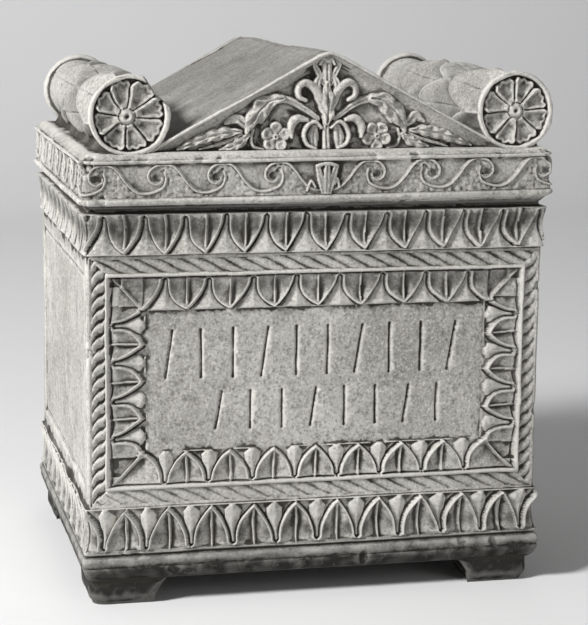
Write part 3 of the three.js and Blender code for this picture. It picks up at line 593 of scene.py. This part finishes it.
def old_marble(name, pale, mid, dark, seed):
    """Weathered white marble: pale where it is worn, with a painted highlight along rubbed edges and ridges;
    darker and browner in the hollows, with dirt and painted shade; darker low down and wherever the darkening
    layer holds dirt, grey from rain and painted shade; mottled and pitted all over."""
    stone = bpy.data.materials.new(name)
    stone.use_nodes = True
    nodes, links = stone.node_tree.nodes, stone.node_tree.links
    shader = nodes["Principled BSDF"]
    shader.inputs["IOR"].default_value = 1.5
    shader.inputs["Specular IOR Level"].default_value = 0.15
    place = nodes.new("ShaderNodeTexCoord").outputs["Object"]
    shift = nodes.new("ShaderNodeMapping")
    shift.inputs["Location"].default_value = (seed, seed * 0.7, seed * 1.3)
    links.new(place, shift.inputs["Vector"])
    place = shift.outputs["Vector"]

    def noise(scale, detail, rough=0.55):
        made = nodes.new("ShaderNodeTexNoise")
        made.inputs["Scale"].default_value = scale
        made.inputs["Detail"].default_value = detail
        made.inputs["Roughness"].default_value = rough
        links.new(place, made.inputs["Vector"])
        return made.outputs["Fac"]

    def ramp(value, low, high, start=0.0, stop=1.0):
        made = nodes.new("ShaderNodeMapRange")
        made.inputs["From Min"].default_value = low
        made.inputs["From Max"].default_value = high
        made.inputs["To Min"].default_value = start
        made.inputs["To Max"].default_value = stop
        links.new(value, made.inputs["Value"])
        return made.outputs["Result"]

    def calc(kind, a, b):
        made = nodes.new("ShaderNodeMath")
        made.operation = kind
        made.use_clamp = kind in ("ADD", "SUBTRACT")
        for value, socket in ((a, made.inputs[0]), (b, made.inputs[1])):
            if isinstance(value, (int, float)):
                socket.default_value = value
            else:
                links.new(value, socket)
        return made.outputs["Value"]

    def mix(share, a, b):
        made = nodes.new("ShaderNodeMix")
        made.data_type = "RGBA"
        for value, socket in ((share, made.inputs[0]), (a, made.inputs[6]), (b, made.inputs[7])):
            if isinstance(value, tuple):
                socket.default_value = (*value, 1)
            else:
                links.new(value, socket)
        return made.outputs[2]

    def layer(attribute):
        made = nodes.new("ShaderNodeAttribute")
        made.attribute_name = attribute
        return made.outputs["Fac"]

    def times(colour, share):
        return tuple(min(1, share * c) for c in colour)

    fine, broad, weather_and_shade = layer("fine_hollow"), layer("broad_hollow"), layer("weather_and_shade")
    mottling = noise(26, 6, 0.6)
    clouds = noise(7, 4)
    speck = noise(420, 3, 0.7)
    grit = noise(170, 5, 0.7)
    # the hollows of the carving darken towards the dark brown: dirt in them, and painted shade
    soil_and_shade = calc("ADD", ramp(fine, 0.05, 0.36, 0, 0.85), ramp(broad, 0.25, 2.1, 0, 0.8))
    soil_and_shade = calc("MULTIPLY", soil_and_shade, ramp(mottling, 0.3, 0.65, 0.7, 1.1))
    # rubbed edges and ridges are lightened: wear, and a painted highlight along them
    worn = ramp(fine, -0.06, -0.42, 0, 0.6)
    ground = mix(ramp(clouds, 0.35, 0.65), mid, pale)
    ground = mix(ramp(mottling, 0.42, 0.72, 0, 0.6), ground, times(mid, 0.68))
    ground = mix(ramp(grit, 0.52, 0.72, 0, 0.75), ground, times(mid, 0.42))
    ground = mix(ramp(speck, 0.54, 0.66, 0, 0.65), ground, times(mid, 0.34))
    ground = mix(ramp(speck, 0.46, 0.35, 0, 0.5), ground, times(pale, 1.35))
    # the darkening layer: dirt and grey from rain, and painted shade under the lid, under the cornice, along
    # the plate's foot, in the drilled eyes and behind the scales
    stain_and_shade = calc("MULTIPLY", weather_and_shade, ramp(grit, 0.3, 0.66, 1.18, 0.7))
    ground = mix(stain_and_shade, ground, times(mid, 0.06))
    bare_and_highlit = calc("MULTIPLY", worn, calc("SUBTRACT", 1.0, calc("MULTIPLY", weather_and_shade, 0.6)))
    ground = mix(bare_and_highlit, ground, times(pale, 1.22))
    ground = mix(soil_and_shade, ground, dark)
    links.new(ground, shader.inputs["Base Color"])
    links.new(ramp(grit, 0.2, 0.8, 0.62, 0.9), shader.inputs["Roughness"])
    bump = nodes.new("ShaderNodeBump")
    bump.inputs["Strength"].default_value = 0.8
    bump.inputs["Distance"].default_value = 0.0013
    relief = calc("ADD", calc("MULTIPLY", grit, 0.7), calc("MULTIPLY", speck, 0.3))
    links.new(relief, bump.inputs["Height"])
    links.new(bump.outputs["Normal"], shader.inputs["Normal"])
    return stone


# the dark brown is the colour of the dirt and painted shade in the hollows
worn_white, old_grey, soil_and_shade_brown = (0.52, 0.505, 0.475), (0.36, 0.348, 0.322), (0.042, 0.038, 0.032)
chest.data.materials.clear()
chest.data.materials.append(old_marble("chest_marble", worn_white, old_grey, soil_and_shade_brown, 3.0))
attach(chest, "root")
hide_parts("chest")


# Lid
# One block of the same marble: a plate with a running scroll round its edge, a gabled roof with a plant
# carved on its front, and a leafy bolster along each side. It lies loose on the rim.
plate_x, plate_y = 196.5, 170
plate_bottom, plate_edge_top, plate_top = 326.3, 364.3, 370.3
eye_z = 349.3


def smooth_line(points, count):
    """Points along a smooth line through the given ones. Further numbers of each point go along."""
    points = np.asarray(points, float)
    padded = np.concatenate([[2 * points[0] - points[1]], points, [2 * points[-1] - points[-2]]])
    t = np.linspace(0, len(points) - 1, count)
    i = np.minimum(t.astype(int), len(points) - 2)
    t = (t - i)[:, None]
    p0, p1, p2, p3 = (padded[i + k] for k in range(4))
    return 0.5 * (
        2 * p1 + (p2 - p0) * t + (2 * p0 - 5 * p1 + 4 * p2 - p3) * t**2 + (3 * p1 - p0 - 3 * p2 + p3) * t**3
    )


wave = smooth_line(
    [(-55, 5, 0.6), (-56, 0, 0.8), (-53, -7, 0.9), (-42, -11, 1), (-32, -9.5, 1), (-24, -2, 1), (-19, 5, 1),
     (-13, 10.5, 1), (-6, 12, 1), (1, 10, 1), (5.5, 5, 1), (5, -1, 0.9), (0, -4, 0.8), (-4, -2, 0.5)], 54,
)


def scroll_relief(place, z, eyes, pitch, inward):
    """The running scroll along a band. inward is 1 where the waves run towards larger places."""
    best = np.full(place.shape, 1e9)
    below = np.zeros(place.shape)
    drilled = np.zeros(place.shape)
    strength = np.ones(place.shape)
    for eye in eyes:
        line = np.column_stack([eye + inward * wave[:, 0] * pitch / 48, eye_z + wave[:, 1]])
        close = np.abs(place - (eye - inward * 24)) < 44
        away, share, hand = near(place[close], z[close], line)
        nearer = away < best[close]
        best[close] = np.where(nearer, away, best[close])
        below[close] = np.where(nearer, np.where(hand * inward < 0, 1, 0), below[close])
        ribbed = np.interp(share, np.linspace(0, 1, len(wave)), wave[:, 2])
        strength[close] = np.where(nearer, ribbed, strength[close])
        spot = np.hypot(place - eye + inward * 0.8, z - eye_z - 1.2)
        drilled = np.maximum(drilled, 1 - ease(spot, 2.2, 3.4))
    spots = np.stack([place, z], axis=-1)
    body = below * ease(best, 0.4, 1.6) * (0.6 + 0.5 * grain(spots, 2.2, 71) + 0.3 * grain(spots, 6, 72))
    rib = 2.3 * strength * bell(best, 1.05) - 0.9 * below * bell(best - 2.2, 0.8)
    return np.maximum(rib, body - 9 * (best < 1.2)) - 6.5 * drilled


def carve(heights, x, z, line, widths, top, lobes=0, rib=True):
    """Raises one leaf or stem on a face: the line it follows, its widths along it, and its height."""
    line = smooth_line([(*p, w) for p, w in zip(line, widths)], 26)
    reach = max(widths)
    close = (x > line[:, 0].min() - reach) & (x < line[:, 0].max() + reach)
    close &= (z > line[:, 1].min() - reach) & (z < line[:, 1].max() + reach)
    away, share, hand = near(x[close], z[close], line[:, :2])
    half = np.maximum(np.interp(share, np.linspace(0, 1, len(line)), line[:, 2]) / 2, 0.4)
    if lobes:
        half = half * (0.78 + 0.34 * np.abs(np.cos(np.pi * (lobes * share + 0.15 * hand))))
    q = away / half
    body = np.where(q < 1, 0.45 + 0.55 * np.sqrt(np.clip(1 - q**2, 0, 1)), 0) * ease(1 - q, 0, 0.12)
    if rib:
        body = body - 0.26 * (q < 1) * bell(away, 0.9)
    if lobes:
        body = body + 0.2 * (q < 1) * np.cos(2 * np.pi * (lobes * share - 0.45 * q)) * ease(q, 0.1, 0.4)
    heights[close] = np.maximum(heights[close], top * body)


def thicker(x):
    """What the plate's edge gains in thickness towards the right. Its top gains half of that."""
    return 1.6 * (1 + x / plate_x)


side, place, base_points = columns_round(plate_x, plate_y, (0.75, 1.2, 2.2, 1.0))
halves = (plate_x, plate_y)
plate_outline = np.array([
    (326.3, -8.0), (327.3, -6.4), (328.2, -4.4), (328.9, -2.2), (329.7, -0.7), (330.8, 0.1), (332.0, 0.3),
    (333.2, 0.0), (334.0, -0.9), (334.9, -2.9), (336.5, -3.2), (359.6, -3.2), (361.2, -2.7), (361.9, -0.9),
    (362.6, -0.3), (363.8, -0.4), (364.3, -0.9),
])
edge_z = np.unique(np.concatenate([np.arange(plate_bottom, plate_edge_top, 0.7), [plate_edge_top]]))
level_z = edge_z[:, None] + 0 * place[None, :]
along = place[None, :] + 0 * level_z
flat = wall_places(base_points, level_z)
out = np.interp(level_z + 0.4 * grain(flat, 50, 73), plate_outline[:, 0], plate_outline[:, 1])
band = ease(level_z, 334.2, 335.6) * (1 - ease(level_z, 360.2, 361.4))
x, z = along + wander(along, level_z, 74, 0.5), level_z
front_eyes = [-234, -185, -137, -89, -42, 46, 93, 139, 189, 238]
front_relief = np.where(
    x > 3, scroll_relief(x, z, front_eyes[5:], 48, 1), scroll_relief(x, z, front_eyes[:5], 48, -1)
)
side_eyes = [-214 + 53 * i for i in range(9)]
right_relief = scroll_relief(x, z, side_eyes, 53, -1)
left_relief = scroll_relief(x, z, [-eye for eye in side_eyes], 53, 1)
relief = np.where(side[None, :] == 0, front_relief, 0)
relief = np.where(side[None, :] == 1, right_relief, relief)
relief = np.where(side[None, :] == 3, left_relief, relief)
palmette = np.zeros_like(x)
front_x = np.where(side[None, :] == 0, x, 999)
for line, widths, top in (
    ([(3, 336), (3.5, 346), (3.5, 357)], (5, 7, 5), 2.6),
    ([(0.5, 336), (-1.5, 346), (-4.5, 357)], (4, 6, 4.5), 2.2),
    ([(5.5, 336), (8, 346), (11, 357)], (4, 6, 4.5), 2.2),
    ([(-5, 357.5), (3.5, 359.5), (11.5, 357.5)], (3, 3.4, 3), 2.3),
    ([(-13, 338), (-10, 345.5), (-6, 341)], (2.2, 2.6, 2), 2.4),
    ([(14, 340), (12, 347), (10, 343)], (2.2, 2.6, 2), 2.0),
):
    carve(palmette, front_x, z, line, widths, top, 0, widths[0] > 3)
near_palmette = bell(front_x - 3, 11)
out += band * np.maximum(relief * (1 - 0.9 * near_palmette), palmette)
out += 0.3 * grain(flat, 40, 75) + 0.3 * grain(flat, 9, 76)
random = np.random.default_rng(23)
chips = [
    (-196, -170, 362, 10, 4.0), (-196, -168, 330, 7, 2.2), (196, -170, 363, 8, 2.5), (-198, -60, 329, 6, 1.6),
    (-198, 40, 363, 8, 2.0), (70, -171, 328, 6, 1.4), (-110, -171, 327, 6, 1.2), (196, -170, 328, 7, 2.0),
]
for _ in range(20):
    spot = base_points[random.integers(len(base_points))]
    chips.append((*spot, random.choice([327, 333, 363, 364]), random.uniform(3, 7), random.uniform(0.4, 1.1)))
out = chip_away(out, flat, chips)
edge_rings = np.stack([set_out(base_points, halves, row, 3.0) for row in out])
tilt = thicker(base_points[:, 0])
lifted = level_z + tilt[None, :] * ease(level_z, plate_bottom, 329.5)
edge_rings = np.concatenate([edge_rings, lifted[..., None]], axis=-1)
edge_xy = edge_rings[-1][:, :2]
slope_rings = []
for t in (0.03, 0.12, 0.25, 0.4, 0.55, 0.7, 0.85, 1.0):
    inward = 1.2 + 11 * t
    plain = ease(t, 0.0, 0.6)
    xy = (edge_xy * (1 - plain) + base_points * plain) * (np.array(halves) - inward) / np.array(halves)
    z = plate_edge_top + 6 * np.sin(0.5 * np.pi * t) ** 1.1 + tilt * (1 - 0.5 * t)
    spot = np.column_stack([xy, z])
    slope_rings.append(np.column_stack([xy, z + 0.35 * grain(spot, 14, 78) + 0.5 * grain(spot, 50, 79)]))
top_xy = slope_rings[-1][:, :2]
for share in (0.97, 0.93, 0.88, 0.8, 0.7, 0.55, 0.35, 0.15):
    xy = top_xy * share
    z = plate_top + 0.5 * thicker(xy[:, 0])
    slope_rings.append(np.column_stack([xy, z + 0.4 * grain(xy, 18, 80) + 0.5 * grain(xy, 50, 79)]))
under_rings = []
for share in (0.2, 0.6, 0.9, 0.98):
    under_rings.append(np.column_stack([edge_rings[0][:, :2] * share, 0 * place + plate_bottom]))
plate = net_mesh("lid_marble", np.stack(under_rings + list(edge_rings) + slope_rings))

# the plant on the tympanum: leaves, stems and two flowers, left and right of a stem in the middle
gable_x, gable_half, gable_rise, gable_y = 7, 148, 80, 160.0
cornice_edge = 1.9
plant_x = 5.5
slant = math.hypot(1, gable_rise / gable_half)  # an upright measure for each across the cornice


def flower(heights, x, z, middle, radius, top, turned=0.0):
    """A five-petalled flower with a button and drilled gaps."""
    dx, dz = x - middle[0], z - middle[1]
    r, angle = np.hypot(dx, dz), np.arctan2(dz, dx) + turned
    wing = np.abs(np.cos(2.5 * angle))
    edge = radius * (0.72 + 0.28 * wing**0.7)
    cup = 0.62 + 0.38 * ease(r, 0.3 * radius, 0.75 * radius) - 0.3 * (1 - wing) ** 2
    petal = top * cup * ease(edge - r, 0, 1.2)
    petal -= 0.35 * top * bell(r - 0.62 * radius, 1.6) * ease(wing, 0.5, 1)
    button = top * 1.05 * np.sqrt(np.clip(1 - (r / (0.24 * radius)) ** 2, 0, 1))
    heights[:] = np.maximum(heights, np.maximum(petal, button))
    heights -= 0.7 * top * bell(r, 0.9)


def plant_heights(x, z):
    """How far the plant stands out at places measured from the foot of its stem."""
    heights = np.zeros_like(x)

    def both(line, *rest):
        for m in (-1, 1):
            carve(heights, x, z, [(m * a, b) for a, b in line], *rest)

    both([(60, 16), (61.5, 9), (59, 3), (51, 0.5)], (2.4, 2.6, 2.6, 2), 3.4, 0, False)
    both([(7, 25), (18, 33), (29, 39), (41, 41)], (4, 5, 6, 7), 5.2)
    both([(37, 41), (48, 38.5), (57, 30), (63, 21), (65.5, 14)], (7, 13, 17, 12, 3), 7.6, 3)
    both([(45, 38), (51, 30), (54, 22)], (6, 9, 3), 6.0, 1)
    both([(66, 20), (74, 25.5), (82, 22)], (6, 9, 3), 5.2, 1)
    both([(70, 15), (82, 14.5), (96, 11.5), (110, 6.5), (122, 2)], (3, 10, 10, 7, 2), 6.2, 5)
    both([(69, 13), (79, 8), (91, 4), (103, 1)], (2, 3, 3, 1.5), 3.4, 0, False)
    both([(64, 12), (70, 7), (78, 3), (86, 0.5)], (4, 9, 7, 2), 4.6, 3)
    for m in (-1, 1):
        flower(heights, x, z, (m * 42, 10.5), 12.5, 6.0, 0.3 * m)
    both([(29, 10), (29, 19), (24, 25), (16, 24)], (3, 7, 7.5, 4), 7.4, 0, False)
    both([(10, 2), (10.5, 10), (9, 18)], (6, 10, 6), 5.0)
    curl = [(9, 0.5), (16, 4.5), (18.5, 12), (15, 20), (9, 22.5), (4, 18)]
    both(curl, (3, 3.6, 4, 4, 3.6, 3), 7.8, 0, False)
    both([(5, 41), (11, 50), (18, 54), (23.5, 50), (23, 43), (17.5, 40)], (6, 8, 7, 6, 5, 3.5), 7.6, 0, False)
    both([(3, 33), (7, 43), (8.5, 53), (5, 60)], (5, 7.5, 7, 3), 6.8)
    both([(3, 53), (7, 62), (10, 68), (7.5, 72)], (4, 5.5, 5, 3), 6.0)
    carve(heights, x, z, [(0, 0), (0, 14), (0, 27)], (7, 6, 4), 6.6)
    carve(heights, x, z, [(0, 22), (0.5, 32), (0, 42), (0, 53)], (6, 14, 12, 6), 8.6, 2)
    carve(heights, x, z, [(0, 50), (0, 61), (0, 71)], (5, 8, 9), 7.0)
    carve(heights, x, z, [(-6, 68.5), (-3, 73), (0, 70.5), (3, 73), (6, 68.5)], (2.6,) * 5, 7.6, 0, False)
    return heights


xs = gable_x + np.unique(np.concatenate([np.linspace(-152, 152, 400), [0]]))
roof_h = gable_rise * (1 - np.abs(xs - gable_x) / gable_half)
roof_h = roof_h - 2.0 * bell(xs - gable_x, 5.0)
edge_h = np.maximum(roof_h - cornice_edge * slant, 0)
loops = []
for t in np.linspace(0, 1, 112):
    loops.append((np.full(xs.shape, -151.0), -5 + (edge_h + 5) * t, "face"))
low = np.minimum(edge_h, roof_h)
for t in (0.0, 0.3, 0.65, 1.0):
    loops.append((np.full(xs.shape, -gable_y), low + (roof_h - low) * t, "edge"))
for y in np.concatenate([[-159.3], np.linspace(-157, 157, 106), [159.3]]):
    loops.append((np.full(xs.shape, y), roof_h, "slope"))
for t in np.linspace(0, 1, 12):
    loops.append((np.full(xs.shape, gable_y), roof_h - (roof_h + 5) * t, "back"))
for t in np.linspace(0, 1, 9)[1:-1]:
    loops.append((np.full(xs.shape, gable_y * (1 - 2 * t)), np.full(xs.shape, -5.0), "foot"))
roof_rings = np.empty((len(xs), len(loops), 3))
for k, (y, h, part) in enumerate(loops):
    h = np.maximum(h, -5)
    if part == "face":
        floor_spot = np.column_stack([xs, h])
        plant_spot = xs - plant_x + 0.6 * grain(floor_spot, 16, 81)
        raised = plant_heights(plant_spot, h + 0.6 * grain(floor_spot, 16, 82))
        raised = raised * (0.95 + 0.16 * grain(floor_spot, 14, 83)) + 0.35 * grain(floor_spot, 5, 84)
        raised = raised * ease(h, -0.5, 0.6)
        from_edge = (edge_h - h) / slant + 0.5 * grain(floor_spot, 26, 92)
        bevel = 8.6 * np.clip(1 - from_edge / 8.4, 0, 1) ** 1.9
        y = y - np.maximum(raised, bevel)
    spot = np.column_stack([xs, y, h])
    rough = 0.35 * grain(spot, 30, 85) + 0.16 * grain(spot, 9, 86) + 0.1 * grain(spot, 4, 87)
    if part in ("edge", "back"):
        y = y + (rough if part == "edge" else -2 * rough)
    if part == "slope":
        stretched = spot * np.array([0.35, 1.0, 0.35])
        h = h + 1.6 * grain(spot, 90, 88) + 0.6 * grain(spot, 24, 89) + rough + 0.25 * grain(stretched, 5, 90)
        h = h - 2.6 * bell(np.hypot(xs + 18, y - 150), 22)
    ridge_drift = 7.5 * (y + gable_y) / (2 * gable_y) * np.clip(h / gable_rise, 0, 1)
    x = xs - ridge_drift * (part in ("slope", "back"))
    roof_rings[:, k] = np.column_stack([x, y, plate_top + h + 0.5 * thicker(x)])
roof = net_mesh("roof", roof_rings)

# the bolsters: a petalled disc in front, a body wrapped in overlapping leaves, a plain disc behind
bolster_x, bolster_z, bolster_y = 159.5, 400.3, 162
bolster_middle = 4.5  # the place midway between the two
beside_bolsters = 122  # how far from there they begin


def rosette_depth(r, angle, turned, seed):
    """How far the carving of a disc's face lies behind its rim."""
    turn = (angle - math.radians(turned)) / (2 * np.pi) * 8
    petal = np.floor(turn)
    q = 2 * (turn - petal) - 1
    uneven = np.mod(np.mod(petal, 8) * 0.37 + seed * 0.13, 1)
    tip = 26.9 + 1.2 * uneven - 2.6 * np.abs(q) ** 3 + 0.8 * np.cos(3 * np.pi * q)
    depth = 1.9 + 1.2 * uneven + 2.7 * (1 - q**2) * ease(r, 7, 14) - 1.1 * q
    depth = depth - 1.0 * bell(np.abs(q) - 0.74, 0.17) * ease(r, 9, 14) - 1.2 * bell(r - tip + 1.4, 1.3)
    depth = depth + 3.4 * bell((1 - np.abs(q)) * r * 0.39, 0.8) * ease(r, 6, 10)
    depth = depth + (6.8 - depth) * ease(r, tip - 0.4, tip + 0.7)
    button = 6.4 - 6.2 * np.sqrt(np.clip(1 - (r / 7.0) ** 2, 0, 1))
    depth = np.where(r < 7.0, np.minimum(depth + 1.0, button), depth)
    return depth + 4.2 * bell(r, 1.7)


def scale_ends(y, angle, seed):
    """For each row of scales of a bolster, the last row first: how far a place is from the middle of its
    scale, from 0 to 1, and where that scale ends there."""
    spots = np.stack([y, 26 * np.cos(angle), 26 * np.sin(angle)], axis=-1)
    turn = (angle - math.radians(15 if seed == 1 else 5)) / (np.pi / 2)
    for row, end in ((2, 88), (1, 14), (0, -60)):
        from_middle = 2 * np.abs(np.mod(turn + 0.5 * row, 1) - 0.5)
        yield from_middle, end - 48 * from_middle**2.2 + 3 * grain(spots, 18, 94 + 3 * row + seed)


def bolster_body(y, angle, seed):
    """The body's radius: three rows of four big round scales and a neck, each row lying over the start of
    the next. The scales' free ends point to the back."""
    spots = np.stack([y, 26 * np.cos(angle), 26 * np.sin(angle)], axis=-1)
    radius = 25.4 + 2.4 * ease(y, 124, 153)
    for from_middle, end in scale_ends(y, angle, seed):
        scale = 24.6 + 7.4 * bell(end - y - 14, 30) - 0.5 * bell(from_middle, 0.05)
        step = ease(end - y, -0.8, 0.8)
        radius = radius * (1 - step) + scale * step - 3.0 * (1 - step) * bell(y - end - 1.8, 2.0)
    return radius + 0.5 * grain(spots, 17, 98) + 0.35 * grain(spots, 7, 99)


def make_bolster(hand):
    """One bolster: the left one for hand -1, the right one for hand 1."""
    seed = 1 if hand < 0 else 2
    turned = -8 if hand < 0 else 4
    x = bolster_middle + hand * bolster_x
    z = bolster_z + 0.0057 * x
    angle = -np.linspace(0, 2 * np.pi, 240, endpoint=False)
    degrees = np.mod(np.degrees(angle) + 180, 360) - 180
    if hand < 0:  # a piece is broken off the left disc
        bearings = [-180, 8, 13, 24, 36, 47, 58, 68, 75, 180]
        left_there = [40, 40, 31.4, 27, 24.2, 25.3, 27.4, 31, 40, 40]
    else:
        bearings = [-180, 30, 36, 44, 50, 180]
        left_there = [40, 40, 31.6, 31.4, 40, 40]
    broken = np.interp(degrees, bearings, left_there)
    rings = []

    def add(y, radius):
        """One ring of the bolster. Where it is broken the ring draws in, and stays behind the last one."""
        radius = radius + 0 * angle
        y = y + 0 * angle
        limit = broken + 0.3 * np.clip(y + bolster_y, 0, None)
        short = radius > limit
        radius = np.minimum(radius, limit)
        if rings:
            y = np.where(short, np.maximum(y, rings[-1][:, 1] + 0.12), y)
        rings.append(np.column_stack([x + radius * np.cos(angle), y, z + radius * np.sin(angle)]))

    off = (-2.0, -0.8) if hand < 0 else (0.3, 0.2)
    for r in np.concatenate([[0.5, 1.2], np.arange(2, 31.6, 0.75)]):
        held = np.minimum(r, broken)
        spots = np.column_stack([held * np.cos(angle), held * np.sin(angle)])
        from_hub = spots - np.array(off) * ease(31 - r, 0, 20)
        r_hub = np.hypot(from_hub[:, 0], from_hub[:, 1]) + 0.6 * grain(spots, 9, 102 + seed)
        a_hub = np.arctan2(from_hub[:, 1], from_hub[:, 0]) + 0.06 * grain(spots, 11, 104 + seed)
        depth = rosette_depth(r_hub, a_hub, turned, seed)
        raised_rim = ease(held + 0.7 * grain(spots, 10, 112), 28.0, 29.0)
        rim_depth = 0.4 + 0.05 * (held - 30.3) ** 2 + 0.5 * grain(spots, 8, 113)
        depth = depth * (1 - raised_rim) + rim_depth * raised_rim
        add(-bolster_y + np.clip(depth + 0.25 * grain(spots, 5, 105), 0, 9), r)
    spot = np.column_stack([32 * np.cos(angle), 32 * np.sin(angle)])
    uneven = 0.6 * grain(spot, 12, 106 + seed) + 0.4 * grain(spot, 5, 107)
    for y, r in ((-161.2, 32.1), (-159.6, 32.5), (-157, 32.4), (-154.5, 31.6), (-153, 30.2)):
        add(y, r + uneven)
    # the block left standing under it, which spreads out to the plate
    reach = np.linspace(22, 46, 97)[:, None]
    level = 30 + reach * np.sin(angle)
    beside = np.abs(reach * np.cos(angle)) > 16 + 9 * np.exp(-np.clip(level, -2, None) / 6)
    first = np.where(beside.any(axis=0), reach[np.argmax(beside, axis=0), 0], 99)
    bed = np.minimum(first, 32 / np.maximum(-np.sin(angle), 1e-3)) * (np.sin(angle) < -0.35)
    for y in np.arange(-152, 152.5, 1.4):
        body = bolster_body(y + 0 * angle, angle, seed)
        around = np.column_stack([np.where(bed > 0, bed, 0), angle * 9, y + 0 * angle])
        add(y, np.maximum(body, bed + 0.5 * grain(around, 11, 108)))
    for y, r in ((153, 31.0), (154.5, 32.0), (158, 32.4), (160.5, 31.6), (161.8, 30.0)):
        add(y, r + uneven)
    for r in (26, 20, 12, 4):
        add(161.6 + 0.4 * grain(spot * r / 32, 8, 109), r)
    return net_mesh("bolster_left" if hand < 0 else "bolster_right", np.stack(rings))


def lid_weather_and_shade(spots, normals):
    """The roof's slopes are grey from rain, and the plate's band and the bolsters a little so, and dirt lies
    on the ground beside the plant. Painted shade lies in a band under the raking cornice and along the
    plate's foot; painted shade with some dirt darkens the drilled eyes of the scroll and the bolsters behind
    the ends of the scales."""
    x, y, z = spots.T
    above = plate_top + 0.5 * thicker(x) + gable_rise * (1 - np.abs(x - gable_x) / gable_half)
    roofed = (np.abs(z - above) < 5) & (y > -158.5) & (z > plate_top + 3) & (normals[:, 2] > 0.4)
    band = (z > 335) & (z < 361)
    # painted shade along the plate's foot
    under = 1.2 * (1 - ease(z, 328.5, 330.5))
    on_face = (y < -158.5) & (z > plate_top + 2) & (above - z > 1)
    from_edge = (above - z) / slant - cornice_edge
    # painted shade in a band under the raking cornice
    cornice = 0.95 * ease(from_edge, 0.1, 1.2) * (1 - ease(from_edge, 7.5, 11))
    # painted shade with some dirt in the drilled eyes of the scroll
    eyes = np.zeros(len(spots))
    for eye in front_eyes:
        hand = 1 if eye > 0 else -1
        eye_away = np.hypot(x - eye + 0.8 * hand, z - eye_z - 1.2 - thicker(x))
        eyes = np.maximum(eyes, (y < -164) * (1 - ease(eye_away, 2.2, 4.0)))
    bolsters = (np.abs(x - bolster_middle) > beside_bolsters) & (y > -158) & (z > plate_top + 4) & ~roofed
    angle = np.arctan2(z - bolster_z, np.abs(x - bolster_middle) - bolster_x)
    angle = np.where(x < 0, np.pi - angle, angle)
    # painted shade with some dirt on the bolsters behind the ends of the scales
    behind = 0.0
    for hand, seed in ((-1, 1), (1, 2)):
        for _, end in scale_ends(y, angle, seed):
            dirt = np.exp(-np.clip(y - end, 0, None) / 15) * (y > end) * (x * hand > 0)
            behind = np.maximum(behind, dirt)
    return (
        roofed * (0.5 + 0.1 * grain(spots, 40, 134) + 0.06 * grain(spots, 6, 133))
        + np.maximum(0.16 * band, eyes)
        + under
        + on_face * np.maximum(cornice, 0.34 + 0.12 * grain(spots, 14, 135))
        + bolsters * (0.2 + 0.16 * grain(spots, 20, 136) + 0.75 * behind)
    )


def lid_clean(spots):
    """The ground behind the plant holds less of the dirt and painted shade of the hollows than the narrow
    grooves.
    """
    x, y, z = spots.T
    between = np.abs(x - bolster_middle) < beside_bolsters
    return 0.75 * (y < -150) * (z > plate_top + 1) * between


for part in (roof, make_bolster(-1), make_bolster(1)):
    joined = plate.modifiers.new("joined", "BOOLEAN")
    joined.operation = "UNION"
    joined.solver = "MANIFOLD"
    joined.object = part
    settle(plate)
    bpy.data.objects.remove(part)
lid = plate
lighten(lid, 190000)
record_hollows(lid, lid_weather_and_shade, lid_clean)
lid_white, lid_grey = (0.54, 0.525, 0.492), (0.375, 0.362, 0.335)
lid.data.materials.clear()
lid.data.materials.append(old_marble("lid_marble", lid_white, lid_grey, soil_and_shade_brown, 11.0))
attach(lid, "root")
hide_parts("lid")
